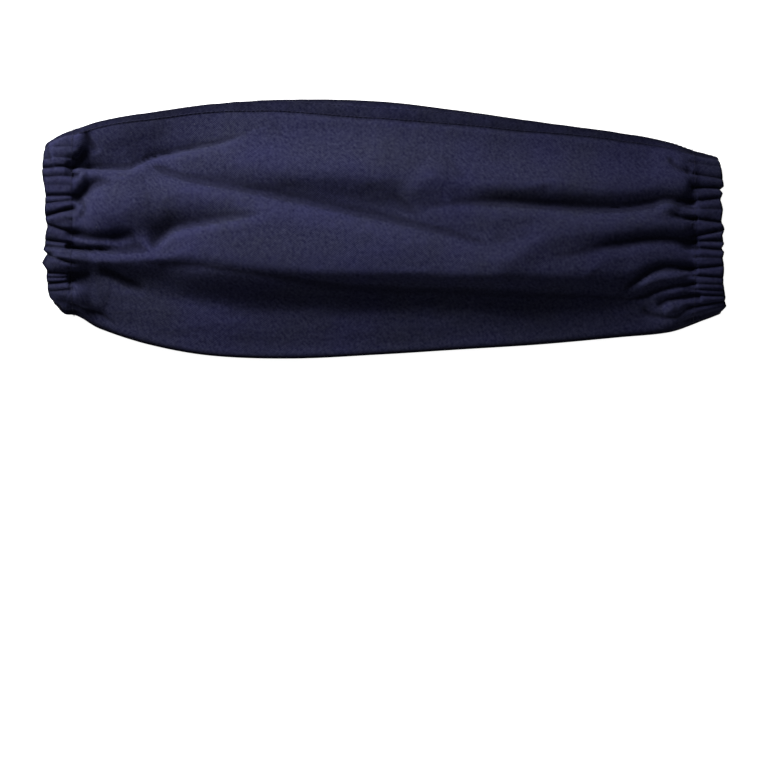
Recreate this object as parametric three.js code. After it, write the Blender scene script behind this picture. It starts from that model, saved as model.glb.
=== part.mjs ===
// A protective sleeve of cotton twill for welding work, lying by itself on a flat surface.
// Millimetres, +Z up. X runs along the arm, from the upper-arm end at -X to the wrist end at +X,
// Y runs across it, and the cloth rests on the plane Z = 0 under the middle of the sleeve.
// The tube of the body is closed by a long felled seam, and each end is a folded hem that lies
// under the body's cloth at its stitch row and holds a ring of elastic, which gathers it.
import * as THREE from "three";

// Overall sizes, as the sleeve lies
const sleeveLength = 457;
const sleeveWidth = 173;
const sleeveHeight = 33;
const upperOpeningWidth = 105;
const upperOpeningHeight = 28;
const wristOpeningWidth = 104;
const wristOpeningHeight = 26;

// Cloth, elastic and the space between sewn layers
const clothThickness = 1.2;
const elasticThickness = 1.2;
const elasticWidth = 17;
const layerGap = 0.3;

// Hems and the long seam
const hemTaper = 3;
const hemLap = 4;
const seamInset = 2.5;
const seamWidth = 7.5;
const seamThickness = 1;

// Gathers and creases
const gatherDepth = 2.4;
const gatherSpread = 2.4;
const gatherRun = 34;
const gatherOpening = 5;
const underGathers = 7;
const underGatherDepth = 0.7;
const underGatherRun = 0.6;
const stitchPinch = 0.9;
const stitchPinchReach = 4;
const cornerSetback = 5;

// Form of the flattened section: how far up its widest point lies, how wide its edge rolls under,
// and how squarely its crown spreads.
const edgeRise = 0.36;
const edgeRoll = 1.15;
const crownSquareness = 2.5;

// How late folds fade towards the outline, how tightly an end's corner curves, and the share of
// a fold's line over which it starts and ends.
const edgeHold = 8;
const cornerCurve = 4;
const foldEnding = 0.06;

// How finely the cloth is divided
const bodyStations = 27;
const crownSteps = 35;
const underSteps = 21;
const seamSteps = 2;
const edgeCrowding = 0.5;
const foldSamples = 12;
const slopeStep = 1e-4;

// Outline from above and the side, a row for each section.
// along: share of the sleeve's length from the upper-arm end. swell: share of the way from the
// nearer opening's width to the sleeve's. loft: the same for its height. drift: how far the
// middle of the section lies towards +Y, as a share of the sleeve's width.
const sections = [
  { along: 0.0, swell: 0.0, loft: 0.0, drift: 0.025 },
  { along: 0.026, swell: 0.158, loft: 0.06, drift: 0.025 },
  { along: 0.05, swell: 0.297, loft: 0.12, drift: 0.025 },
  { along: 0.085, swell: 0.505, loft: 0.36, drift: 0.016 },
  { along: 0.158, swell: 0.743, loft: 0.7, drift: 0.002 },
  { along: 0.246, swell: 0.926, loft: 0.9, drift: -0.003 },
  { along: 0.364, swell: 1.0, loft: 1.0, drift: 0.0 },
  { along: 0.496, swell: 0.942, loft: 1.0, drift: 0.004 },
  { along: 0.613, swell: 0.806, loft: 0.94, drift: -0.004 },
  { along: 0.73, swell: 0.65, loft: 0.84, drift: -0.016 },
  { along: 0.848, swell: 0.476, loft: 0.62, drift: -0.023 },
  { along: 0.921, swell: 0.34, loft: 0.36, drift: -0.031 },
  { along: 0.959, swell: 0.146, loft: 0.12, drift: -0.031 },
  { along: 0.979, swell: 0.068, loft: 0.06, drift: -0.027 },
  { along: 1.0, swell: 0.0, loft: 0.0, drift: -0.025 },
];
const widestAlong = 0.364;

// Folds and dents of the upper side, a row for each. start, middle and end: [share of the length
// from the upper-arm end, share of the half width from the centre line]. rise: share of the
// sleeve's height, negative for a valley. reach: share of the sleeve's width.
const folds = [
  // valley that crosses the sleeve from the far shoulder to its middle, and the swell below it
  { start: [0.151, 0.504], middle: [0.349, 0.264], end: [0.591, -0.023], rise: -0.15, reach: 0.028 },
  { start: [0.22, 0.25], middle: [0.36, 0.08], end: [0.56, -0.14], rise: 0.1, reach: 0.075 },
  // valley along the near side, and the swell above it
  { start: [0.166, -0.256], middle: [0.48, -0.45], end: [0.865, -0.527], rise: -0.18, reach: 0.032 },
  { start: [0.22, -0.16], middle: [0.45, -0.25], end: [0.7, -0.34], rise: 0.09, reach: 0.06 },
  // ridge and dent of the far shoulder
  { start: [0.051, 0.442], middle: [0.166, 0.574], end: [0.283, 0.752], rise: 0.07, reach: 0.03 },
  { start: [0.1, 0.69], middle: [0.16, 0.7], end: [0.23, 0.8], rise: -0.07, reach: 0.035 },
  // swell and dent behind the upper-arm hem
  { start: [0.06, 0.3], middle: [0.11, 0.29], end: [0.17, 0.24], rise: 0.09, reach: 0.06 },
  { start: [0.155, 0.17], middle: [0.158, 0.03], end: [0.163, -0.12], rise: -0.07, reach: 0.025 },
  { start: [0.04, -0.163], middle: [0.129, -0.209], end: [0.217, -0.155], rise: 0.06, reach: 0.02 },
  { start: [0.092, -0.318], middle: [0.11, -0.36], end: [0.132, -0.434], rise: -0.07, reach: 0.02 },
  { start: [0.056, -0.628], middle: [0.068, -0.65], end: [0.081, -0.682], rise: -0.05, reach: 0.015 },
  // ridges and valleys that run into the wrist hem
  { start: [0.664, 0.287], middle: [0.789, 0.225], end: [0.957, 0.24], rise: -0.13, reach: 0.03 },
  { start: [0.664, -0.256], middle: [0.755, 0.01], end: [0.935, 0.109], rise: 0.12, reach: 0.04 },
  { start: [0.818, -0.109], middle: [0.89, -0.05], end: [0.957, -0.07], rise: -0.09, reach: 0.022 },
  { start: [0.862, -0.419], middle: [0.905, -0.31], end: [0.96, -0.287], rise: -0.1, reach: 0.022 },
  { start: [0.877, -0.395], middle: [0.91, -0.36], end: [0.95, -0.341], rise: 0.06, reach: 0.016 },
  { start: [0.884, -0.589], middle: [0.92, -0.52], end: [0.965, -0.488], rise: -0.06, reach: 0.018 },
];

// Grooves of the gathered hems on the upper side, a row for each. across: share of the opening's
// half width. depth: share of gatherDepth. run: share of gatherRun that it reaches into the body.
const upperGrooves = [
  { across: 0.77, depth: 0.6, run: 0.5 },
  { across: 0.62, depth: 1.0, run: 0.9 },
  { across: 0.31, depth: 0.8, run: 0.7 },
  { across: 0.14, depth: 0.55, run: 0.4 },
  { across: -0.07, depth: 0.8, run: 1.0 },
  { across: -0.24, depth: 0.75, run: 1.0 },
  { across: -0.41, depth: 0.6, run: 0.5 },
  { across: -0.6, depth: 0.8, run: 0.6 },
  { across: -0.73, depth: 1.0, run: 0.7 },
];
const wristGrooves = [
  { across: 0.74, depth: 0.65, run: 0.5 },
  { across: 0.58, depth: 1.0, run: 0.8 },
  { across: 0.42, depth: 0.6, run: 0.5 },
  { across: 0.2, depth: 0.75, run: 0.6 },
  { across: 0.02, depth: 0.8, run: 0.7 },
  { across: -0.16, depth: 0.7, run: 0.9 },
  { across: -0.35, depth: 0.9, run: 0.9 },
  { across: -0.53, depth: 0.75, run: 0.5 },
  { across: -0.68, depth: 0.6, run: 0.6 },
  { across: -0.82, depth: 0.6, run: 0.4 },
];

// The layers of a hem, from outside in, and its length from the end fold to the stitch row
const pocketTop = clothThickness;
const elasticTop = pocketTop + layerGap;
const pocketFloor = elasticTop + elasticThickness + layerGap;
const hemDepth = pocketFloor + clothThickness;
const lapTop = clothThickness + layerGap;
const elasticStart = clothThickness + layerGap;
const elasticEnd = elasticStart + elasticWidth;
const taperStart = elasticEnd + layerGap;
const stitchRow = taperStart + hemTaper;

// Smooth value of one column of the sections at a share of the length
function readSections(along, column) {
  const last = sections.length - 1;
  const slope = (i) => {
    const before = sections[Math.max(i - 1, 0)];
    const after = sections[Math.min(i + 1, last)];
    return (after[column] - before[column]) / (after.along - before.along);
  };
  const share = THREE.MathUtils.clamp(along, 0, 1);
  const beyond = sections.findIndex((row) => row.along > share);
  const next = beyond > 0 ? beyond : last;
  const from = sections[next - 1];
  const to = sections[next];
  const span = to.along - from.along;
  const t = (share - from.along) / span;
  const ease = t * t * (3 - 2 * t);
  const leaving = slope(next - 1) * span * t * (1 - t) ** 2;
  const arriving = slope(next) * span * t * t * (t - 1);
  return THREE.MathUtils.lerp(from[column], to[column], ease) + leaving + arriving;
}

// Half width, middle and height of the section at x
function sectionAt(x) {
  const along = x / sleeveLength + 0.5;
  const towardsWrist = along > widestAlong;
  const openingWidth = towardsWrist ? wristOpeningWidth : upperOpeningWidth;
  const openingHeight = towardsWrist ? wristOpeningHeight : upperOpeningHeight;
  const width = THREE.MathUtils.lerp(openingWidth, sleeveWidth, readSections(along, "swell"));
  const height = THREE.MathUtils.lerp(openingHeight, sleeveHeight, readSections(along, "loft"));
  return { half: width / 2, middle: readSections(along, "drift") * sleeveWidth, height };
}

// A turn from 0 to 1 goes over the crown from the far edge to the near one, and from 1 to 2 it
// comes back underneath. across is then the share of the half width.
function acrossAt(turn) {
  return turn < 1 ? 1 - 2 * turn : 2 * turn - 3;
}

// Point of the smooth section, before folds and gathers
function sectionPoint(x, turn) {
  const wrapped = (turn + 2) % 2;
  const { half, middle, height } = sectionAt(x);
  const across = acrossAt(wrapped);
  const edge = edgeRise * height;
  const rollShare = (edgeRoll * edge) / half;
  const roll = Math.max(0, 1 - (1 - Math.abs(across)) / rollShare);
  const z =
    wrapped < 1
      ? edge + (height - edge) * Math.sqrt(Math.max(0, 1 - Math.abs(across) ** crownSquareness))
      : edge * (1 - Math.sqrt(Math.max(0, 1 - roll * roll)));
  return { y: middle + half * across, z };
}

// Outward direction of the smooth section
function sectionNormal(x, turn) {
  const ahead = sectionPoint(x, turn + slopeStep);
  const behind = sectionPoint(x, turn - slopeStep);
  const normal = new THREE.Vector2(ahead.z - behind.z, behind.y - ahead.y);
  return normal.normalize();
}

// Bell curve of a distance
function bell(distance, reach) {
  return Math.exp(-((distance / reach) ** 2));
}

// Curved line, height and reach of each fold
const foldLines = folds.map((fold) => {
  const spots = [fold.start, fold.middle, fold.end].map(
    ([along, across]) =>
      new THREE.Vector3((along - 0.5) * sleeveLength, (across * sleeveWidth) / 2, 0),
  );
  const line = new THREE.CatmullRomCurve3(spots).getPoints(foldSamples);
  return { line, rise: fold.rise * sleeveHeight, reach: fold.reach * sleeveWidth };
});

// Height that the folds add at a spot of the crown
function foldRise(x, y) {
  const spot = new THREE.Vector3(x, y, 0);
  const nearest = new THREE.Vector3();
  return foldLines.reduce((total, { line, rise, reach }) => {
    let best = Infinity;
    let share = 0;
    for (let i = 0; i < foldSamples; i++) {
      const piece = new THREE.Line3(line[i], line[i + 1]);
      const along = piece.closestPointToPointParameter(spot, true);
      const distance = piece.at(along, nearest).distanceTo(spot);
      if (distance < best) {
        best = distance;
        share = (i + along) / foldSamples;
      }
    }
    const held = THREE.MathUtils.clamp(share, foldEnding, 1 - foldEnding);
    const fading = Math.sqrt(Math.sin(Math.PI * held));
    return total + rise * fading * bell(best, reach);
  }, 0);
}

// Depth of the gathers at a spot: full in the hem, then wider and shallower into the body
function gatherGroove(x, across, under) {
  const towardsWrist = x > 0;
  const fromEnd = sleeveLength / 2 - Math.abs(x);
  const intoBody = Math.max(0, fromEnd - stitchRow);
  const spread = gatherSpread + (gatherOpening - gatherSpread) * Math.min(1, intoBody / gatherRun);
  const { half } = sectionAt(x);
  const spacing = 2 / underGathers;
  const rows = towardsWrist ? wristGrooves : upperGrooves;
  const underRows = Array.from({ length: underGathers }, (_, i) => {
    return { across: -1 + spacing * (i + 0.5), depth: underGatherDepth, run: underGatherRun };
  });
  const grooves = (under ? underRows : rows).reduce((deepest, row) => {
    const fading = bell(intoBody, gatherRun * row.run);
    const groove = row.depth * fading * bell((across - row.across) * half, spread);
    return Math.max(deepest, groove);
  }, 0);
  return gatherDepth * grooves + stitchPinch * bell(fromEnd - stitchRow, stitchPinchReach);
}

// How far the cloth stands out from the smooth section
function relief(x, y, turn) {
  const wrapped = (turn + 2) % 2;
  const across = acrossAt(wrapped);
  const under = wrapped >= 1;
  const edgeFading = 1 - Math.abs(across) ** edgeHold;
  const fold = under ? 0 : foldRise(x, y);
  return edgeFading * (fold - gatherGroove(x, across, under));
}

// The ends curve back at their corners, most where the hem is folded
function cornerShift(x, turn) {
  const across = acrossAt((turn + 2) % 2);
  const fromEnd = sleeveLength / 2 - Math.abs(x);
  const folded = Math.max(0, 1 - fromEnd / stitchRow);
  const setback = cornerSetback * folded * Math.abs(across) ** cornerCurve;
  return -Math.sign(x) * setback;
}

// Point of the cloth at a depth below its outer face, or above it where depth is negative
function clothPoint(x, turn, depth) {
  const { y, z } = sectionPoint(x, turn);
  const normal = sectionNormal(x, turn);
  const out = relief(x, y, turn) - depth;
  return new THREE.Vector3(x + cornerShift(x, turn), y + normal.x * out, z + normal.y * out);
}

// Even steps from -1 to 1 that crowd towards both edges
function crowded(step, steps) {
  const even = (2 * step) / steps - 1;
  return (1 - edgeCrowding) * even + edgeCrowding * Math.sin((even * Math.PI) / 2);
}

// Turns across the long seam at x, from its outer to its inner edge
function seamTurns(x) {
  const { half } = sectionAt(x);
  return Array.from({ length: seamSteps + 1 }, (_, i) => {
    return (seamInset + (seamWidth * i) / seamSteps) / (2 * half);
  });
}

// Turns round the cloth at x. Those of the seam are among them, and every layer uses the same
// ones, so that the layers lie true on each other.
function clothTurns(x) {
  const seam = seamTurns(x);
  const crownStart = seam[seamSteps];
  const crown = Array.from({ length: crownSteps - 1 }, (_, i) => {
    return crownStart + (1 - crownStart) * crowded(crownSteps + i + 1, 2 * crownSteps);
  });
  const under = Array.from({ length: underSteps }, (_, i) => {
    return 1 + (1 + crowded(i, underSteps)) / 2;
  });
  return [0, ...seam, ...crown, ...under];
}

// Stations along the body, from the upper-arm end. The second and the last but one lie where the
// hems' laps end.
function bodyPlaces() {
  const end = sleeveLength / 2 - stitchRow - layerGap;
  const lapEnd = sleeveLength / 2 - stitchRow - hemLap - layerGap;
  const between = Array.from({ length: bodyStations + 1 }, (_, i) => lapEnd * crowded(i, bodyStations));
  return [-end, ...between, end];
}

// Closed solid from rings of points, each ring joined to the next and the last to the first.
// Each four-sided patch is halved the same way along X, so that nested layers stay clear.
function ringSolid(rings) {
  const around = rings[0].length;
  const faces = rings.flatMap((ring, i) => {
    const next = (i + 1) % rings.length;
    return ring.flatMap((_, j) => {
      const beside = (j + 1) % around;
      const a = i * around + j;
      const b = i * around + beside;
      const c = next * around + beside;
      const d = next * around + j;
      const forwards = ring[0].x <= rings[next][0].x;
      return forwards ? [a, b, c, a, c, d] : [a, b, d, b, c, d];
    });
  });
  const geometry = new THREE.BufferGeometry().setFromPoints(rings.flat());
  geometry.setIndex(faces);
  geometry.computeVertexNormals();
  return geometry;
}

// The tube of the body: out along its outer face and back along its inner one
function bodyGeometry() {
  const places = bodyPlaces();
  const outer = places.map((x) => clothTurns(x).map((turn) => clothPoint(x, turn, 0)));
  const inner = places.map((x) => clothTurns(x).map((turn) => clothPoint(x, turn, clothThickness)));
  return ringSolid([...outer, ...inner.reverse()]);
}

// The band of the felled seam on the outer face of the body
function seamGeometry() {
  const base = -layerGap;
  const face = base - seamThickness;
  const rings = bodyPlaces().map((x) => {
    const turns = seamTurns(x);
    const top = turns.map((turn) => clothPoint(x, turn, face));
    const bottom = turns.map((turn) => clothPoint(x, turn, base));
    return [...bottom, ...top.reverse()];
  });
  const around = rings[0].length;
  const faces = [];
  for (let i = 0; i < rings.length - 1; i++) {
    for (let j = 0; j < around; j++) {
      const beside = (j + 1) % around;
      const a = i * around + j;
      const b = i * around + beside;
      faces.push(a, b + around, b, a, a + around, b + around);
    }
  }
  const lastRing = (rings.length - 1) * around;
  for (let j = 0; j < seamSteps; j++) {
    const mate = around - 1 - j;
    faces.push(j, j + 1, mate, j + 1, mate - 1, mate);
    faces.push(lastRing + j, lastRing + mate, lastRing + j + 1);
    faces.push(lastRing + j + 1, lastRing + mate, lastRing + mate - 1);
  }
  const geometry = new THREE.BufferGeometry().setFromPoints(rings.flat());
  geometry.setIndex(faces);
  geometry.computeVertexNormals();
  return geometry;
}

// Ring swept round an end through [distance from the end fold, depth] corners.
// side is -1 at the upper-arm end and 1 at the wrist.
function endRing(side, corners) {
  const loop = side > 0 ? corners : [...corners].reverse();
  const rings = loop.map(([reach, depth]) => {
    const x = side * (sleeveLength / 2 - reach);
    return clothTurns(x).map((turn) => clothPoint(x, turn, depth));
  });
  return ringSolid(rings);
}

// The folded hem: its outer layer, the end fold, and its inner layer, which laps under the body
function hemCorners() {
  const round = clothThickness;
  return [
    [stitchRow, 0],
    [taperStart, 0],
    [round, 0],
    [0, hemDepth / 2],
    [round, hemDepth],
    [taperStart, hemDepth],
    [stitchRow, lapTop + clothThickness],
    [stitchRow + hemLap, lapTop + clothThickness],
    [stitchRow + hemLap, lapTop],
    [stitchRow, lapTop],
    [taperStart, pocketFloor],
    [round, pocketFloor],
    [round, pocketTop],
    [taperStart, pocketTop],
    [stitchRow, pocketTop],
  ];
}

// The elastic band that lies in the hem
function elasticCorners() {
  return [
    [elasticEnd, elasticTop],
    [elasticStart, elasticTop],
    [elasticStart, elasticTop + elasticThickness],
    [elasticEnd, elasticTop + elasticThickness],
  ];
}

function piece(name, geometry, material) {
  const mesh = new THREE.Mesh(geometry, material);
  mesh.name = name;
  return mesh;
}

function twill(shade) {
  return new THREE.MeshStandardMaterial({ color: shade, roughness: 0.92, metalness: 0 });
}

function wovenElastic() {
  return new THREE.MeshStandardMaterial({ color: 0xd8d6d0, roughness: 0.85, metalness: 0 });
}

const sleeve = new THREE.Group();
sleeve.add(piece("sleeve_body", bodyGeometry(), twill(0x222336)));
sleeve.add(piece("felled_seam", seamGeometry(), twill(0x1f2032)));
sleeve.add(piece("upper_arm_casing", endRing(-1, hemCorners()), twill(0x242539)));
sleeve.add(piece("wrist_casing", endRing(1, hemCorners()), twill(0x242539)));
sleeve.add(piece("upper_arm_elastic", endRing(-1, elasticCorners()), wovenElastic()));
sleeve.add(piece("wrist_elastic", endRing(1, elasticCorners()), wovenElastic()));

export default sleeve;
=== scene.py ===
"""A protective welding sleeve of navy cotton twill, lying flattened on a pale surface."""

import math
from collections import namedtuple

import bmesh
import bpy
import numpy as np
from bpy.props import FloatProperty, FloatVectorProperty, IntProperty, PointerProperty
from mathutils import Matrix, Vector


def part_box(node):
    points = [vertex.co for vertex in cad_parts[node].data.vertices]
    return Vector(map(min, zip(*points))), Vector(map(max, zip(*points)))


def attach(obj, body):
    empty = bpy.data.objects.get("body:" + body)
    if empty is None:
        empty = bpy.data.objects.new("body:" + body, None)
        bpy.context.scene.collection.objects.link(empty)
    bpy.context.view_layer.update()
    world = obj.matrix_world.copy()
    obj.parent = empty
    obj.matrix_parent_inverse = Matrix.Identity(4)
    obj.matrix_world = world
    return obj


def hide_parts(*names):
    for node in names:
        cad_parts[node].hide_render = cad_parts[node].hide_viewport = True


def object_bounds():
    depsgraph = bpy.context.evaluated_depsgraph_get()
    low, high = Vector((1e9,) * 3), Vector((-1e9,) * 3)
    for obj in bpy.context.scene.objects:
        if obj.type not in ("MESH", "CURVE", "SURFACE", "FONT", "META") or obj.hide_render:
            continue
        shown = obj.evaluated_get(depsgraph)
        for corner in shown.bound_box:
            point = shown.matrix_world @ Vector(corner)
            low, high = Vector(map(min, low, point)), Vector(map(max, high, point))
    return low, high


bl_info = {
    "name": "Welding Sleeve",
    "version": (1, 0, 0),
    "blender": (4, 5, 0),
    "location": "3D View > Sidebar > Sleeve",
    "description": "Builds a gathered cotton twill sleeve and its studio around a fixed frame",
    "category": "Object",
}

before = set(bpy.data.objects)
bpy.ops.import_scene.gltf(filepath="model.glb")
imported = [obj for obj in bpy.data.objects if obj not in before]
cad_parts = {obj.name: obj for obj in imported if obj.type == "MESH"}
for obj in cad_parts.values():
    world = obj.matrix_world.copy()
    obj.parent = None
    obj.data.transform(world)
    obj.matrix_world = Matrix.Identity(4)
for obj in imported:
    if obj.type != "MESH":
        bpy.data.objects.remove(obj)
CAD_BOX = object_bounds()
CAD_LENGTH = CAD_BOX[1][0] - CAD_BOX[0][0]
CAD_BODY_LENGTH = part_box("sleeve_body")[1][0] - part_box("sleeve_body")[0][0]

MM = 0.001
BODY = "root"

# The photo's 768 px frame: millimetres of cloth to a pixel, and the pixel over the origin
PHOTO_SIDE = 768
PHOTO_MM = 0.671
PHOTO_ORIGIN = (383, 229)

# Outline from above and the side, a row for each section. along: share of the length from the
# upper-arm end. swell and loft: share of the way from the nearer opening's width and height to
# the sleeve's. drift: how far the middle lies towards the far edge, as a share of the width.
Section = namedtuple("Section", "along swell loft drift")
SECTIONS = [Section(*row) for row in (
    (0.0, 0.055, 0.0, 0.0185), (0.026, 0.24, 0.06, 0.0175), (0.05, 0.315, 0.12, 0.025),
    (0.085, 0.505, 0.36, 0.016), (0.158, 0.743, 0.7, 0.002), (0.246, 0.926, 0.9, -0.003),
    (0.364, 1.0, 1.0, 0.0), (0.496, 0.942, 1.0, 0.004), (0.613, 0.806, 0.94, -0.004),
    (0.73, 0.65, 0.84, -0.016), (0.848, 0.476, 0.62, -0.023), (0.921, 0.34, 0.36, -0.031),
    (0.959, 0.175, 0.12, -0.031), (0.979, 0.11, 0.06, -0.027), (1.0, 0.04, 0.0, -0.021),
)]
# Where the sleeve is widest. The edge's height and roll as shares of the height, and how square
# the crown is.
WIDEST_ALONG = 0.364
EDGE_RISE = 0.36
EDGE_ROLL = 1.15
CROWN_SQUARENESS = 3.6

# Folds of the upper side, a row for each. line: its spots in the photo's frame. rise: height in
# millimetres, negative for a valley. far and near: its reach in millimetres on the side of the
# far and of the near edge. sharp: 0 for a round bottom, 1 for a crease. start and fade: share of
# the line over which it comes in and dies away.
Fold = namedtuple("Fold", "line rise far near sharp start fade")
FOLDS = [Fold(*row) for row in (
    # broad swells
    ([(165, 250), (230, 262), (300, 266), (380, 269), (470, 270), (560, 271)],
     7.2, 29, 16, 0.0, 0.2, 0.5),
    ([(84, 210), (115, 212), (150, 204)], 4.2, 24, 12, 0.0, 0.4, 0.4),
    ([(130, 318), (300, 332), (520, 324)], 1.2, 12, 12, 0.0, 0.3, 0.3),
    # valley from the far shoulder to the middle
    ([(138, 158), (180, 175), (230, 185), (280, 195), (330, 206), (380, 217), (445, 232), (490, 244)],
     -6.0, 12, 8, 0.75, 0.1, 0.35),
    ([(180, 166), (240, 179), (300, 189), (400, 202), (450, 203)], -4.5, 11, 12, 0.0, 0.2, 0.3),
    # crease along the near side
    ([(118, 262), (155, 263), (195, 265), (230, 270), (280, 277), (330, 284), (380, 288),
     (430, 290), (480, 291), (530, 293)], -2.8, 6, 11, 0.7, 0.1, 0.4),
    ([(460, 293), (530, 295), (580, 296), (634, 299)], -0.7, 4, 4, 0.8, 0.4, 0.06),
    ([(440, 273), (500, 274), (560, 275), (625, 278)], 4.6, 20, 10, 0.0, 0.4, 0.35),
    # ridge line of the far shoulder, with the hollow behind it
    ([(72, 164), (90, 166), (125, 166.5), (138, 161), (155, 153), (185, 147), (216, 142), (246, 133)],
     -10.5, 19, 3.4, 0.65, 0.2, 0.65),
    ([(80, 175), (96, 171), (126, 171), (143, 163), (165, 158)], 1.8, 3.0, 6, 0.2, 0.3, 0.3),
    ([(85, 129), (90, 138), (98, 150)], -2.8, 3, 3, 0.5, 0.3, 0.3),
    ([(100, 151), (140, 141), (182, 127)], -1.8, 8, 12, 0.0, 0.3, 0.4),
    # pockets behind the upper-arm hem
    ([(79, 178), (71, 169), (79, 157), (88, 147)], -4.6, 3.6, 3.8, 0.4, 0.15, 0.3),
    ([(73, 202), (83, 193), (96, 183), (114, 180)], -5.2, 4.2, 5.0, 0.3, 0.2, 0.5),
    ([(44, 142), (56, 138), (72, 132)], 3.2, 6, 20, 0.0, 0.1, 0.6),
    ([(79, 198), (84, 208), (79, 220)], -2.2, 2.0, 2.4, 0.5, 0.3, 0.3),
    ([(62, 233), (85, 237.5), (110, 238), (138, 234)], -3.7, 4.0, 3.4, 0.3, 0.2, 0.3),
    ([(64, 245.5), (80, 249), (116, 249.5)], -5.0, 2.8, 2.6, 0.6, 0.15, 0.35),
    ([(96, 250), (120, 251), (150, 249)], -2.0, 9, 2.4, 0.4, 0.35, 0.3),
    ([(46, 254), (80, 260), (110, 262), (150, 261), (175, 256), (205, 247)],
     3.9, 4.4, 8.0, 0.2, 0.08, 0.5),
    ([(66, 278), (77, 277), (92, 273)], -4.4, 5.0, 8, 0.2, 0.15, 0.5),
    ([(98, 266), (114, 275), (128, 283), (146, 290)], -3.8, 3.6, 4.4, 0.3, 0.25, 0.35),
    ([(64, 298), (82, 302), (106, 309)], 2.4, 14, 4, 0.0, 0.3, 0.4),
    ([(66, 303), (80, 308), (100, 315), (126, 334)], -2.0, 2.4, 5, 0.5, 0.3, 0.3),
    # pocket and lobe between the shoulder and the middle
    ([(150, 249), (162, 236), (174, 228), (197, 223), (230, 217), (268, 211)],
     -7.6, 11, 3.8, 0.3, 0.24, 0.5),
    ([(108, 241), (128, 243), (146, 241)], -1.9, 8, 8, 0.0, 0.3, 0.4),
    # dent and ridge on the far side of the middle
    ([(404, 204), (424, 184), (448, 160)], 2.5, 9, 14, 0.0, 0.35, 0.4),
    ([(271, 122), (279, 131), (283, 142)], -0.6, 4, 6, 0.2, 0.4, 0.5),
    ([(373, 172), (375, 140), (377, 114)], 0.8, 4, 12, 0.4, 0.35, 0.2),
    ([(487, 160), (485, 142), (487, 124)], 0.6, 4, 12, 0.4, 0.35, 0.2),
    ([(520, 187), (545, 184), (566, 181)], 0.8, 2.6, 2.2, 0.2, 0.4, 0.4),
    # valleys and ridges that run into the wrist hem
    ([(450, 180), (560, 186), (640, 188), (700, 186)], 3.2, 16, 8, 0.0, 0.35, 0.1),
    ([(430, 205), (470, 202), (500, 202), (530, 204), (560, 206), (600, 208), (629, 207), (652, 203),
     (668, 199), (684, 203), (699, 203)], -6.6, 9, 5, 0.5, 0.35, 0.05),
    ([(480, 266), (508, 258), (534, 243), (560, 234), (600, 230), (655, 226), (676, 226), (694, 229)],
     3.0, 9, 10, 0.0, 0.3, 0.1),
    ([(560, 256), (603, 247), (629, 242.5), (657, 239), (675, 240), (688, 243), (699, 241)],
     -4.6, 5, 5, 0.5, 0.5, 0.05),
    ([(583, 276), (592, 270), (604, 264)], 0.55, 2.0, 1.8, 0.2, 0.4, 0.4),
    ([(656, 210), (667, 207), (680, 209)], 2.6, 3.4, 3.5, 0.2, 0.4, 0.4),
    ([(668, 214), (684, 218), (699, 219)], -3.0, 2.2, 2.2, 0.6, 0.4, 0.05),
    ([(622, 291), (635, 281.5), (647, 274), (657.6, 269.5), (670, 267.5), (699, 270)],
     -4.6, 3.8, 3.4, 0.4, 0.35, 0.05),
    ([(638, 288), (657, 280), (694, 275)], 1.4, 3, 3, 0.1, 0.4, 0.2),
    ([(628, 300), (645, 296), (657, 291.5), (675, 287.5), (699, 284)], -2.8, 2.8, 2.6, 0.7, 0.25, 0.05),
    ([(657, 308), (666, 302), (681, 298.5), (702, 298)], -2.8, 2.6, 2.8, 0.6, 0.3, 0.05),
    ([(650, 299), (662, 293), (690, 289)], 0.8, 2.4, 2.4, 0.1, 0.4, 0.2),
    ([(641, 307), (652, 316), (675, 318), (689, 309)], -1.8, 3.0, 3.0, 0.4, 0.3, 0.3),
    ([(662, 311), (676, 308)], 1.8, 4.5, 4.5, 0.0, 0.4, 0.4),
    ([(668, 156), (676, 166), (692, 172.5)], -2.4, 3.0, 2.6, 0.5, 0.3, 0.1),
)]

# Flattened margins of the upper side, a row for each edge. side: 1 for the far edge, -1 for the
# near one. drop: how much lower it lies than the smooth section, in millimetres. edge: how fast
# it sets in. flat and end: distances from the edge where it starts to rise and where it ends.
# upper and wrist: how far from each hem it reaches its full depth. upper_shift and wrist_shift:
# how much further from the edge flat and end lie at each end of the sleeve.
Margin = namedtuple("Margin", "side drop edge flat end upper wrist upper_shift wrist_shift")
MARGINS = [
    Margin(1, 12.5, 7.0, 17.0, 54.0, 11.0, 32.0, 13.0, 0.0),
    Margin(-1, 12.5, 7.0, 29.0, 56.0, 13.0, 32.0, 7.0, -17.0),
]
# How quickly the margins deepen where the sleeve grows thick
LOFT_POWER = 0.4

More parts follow.
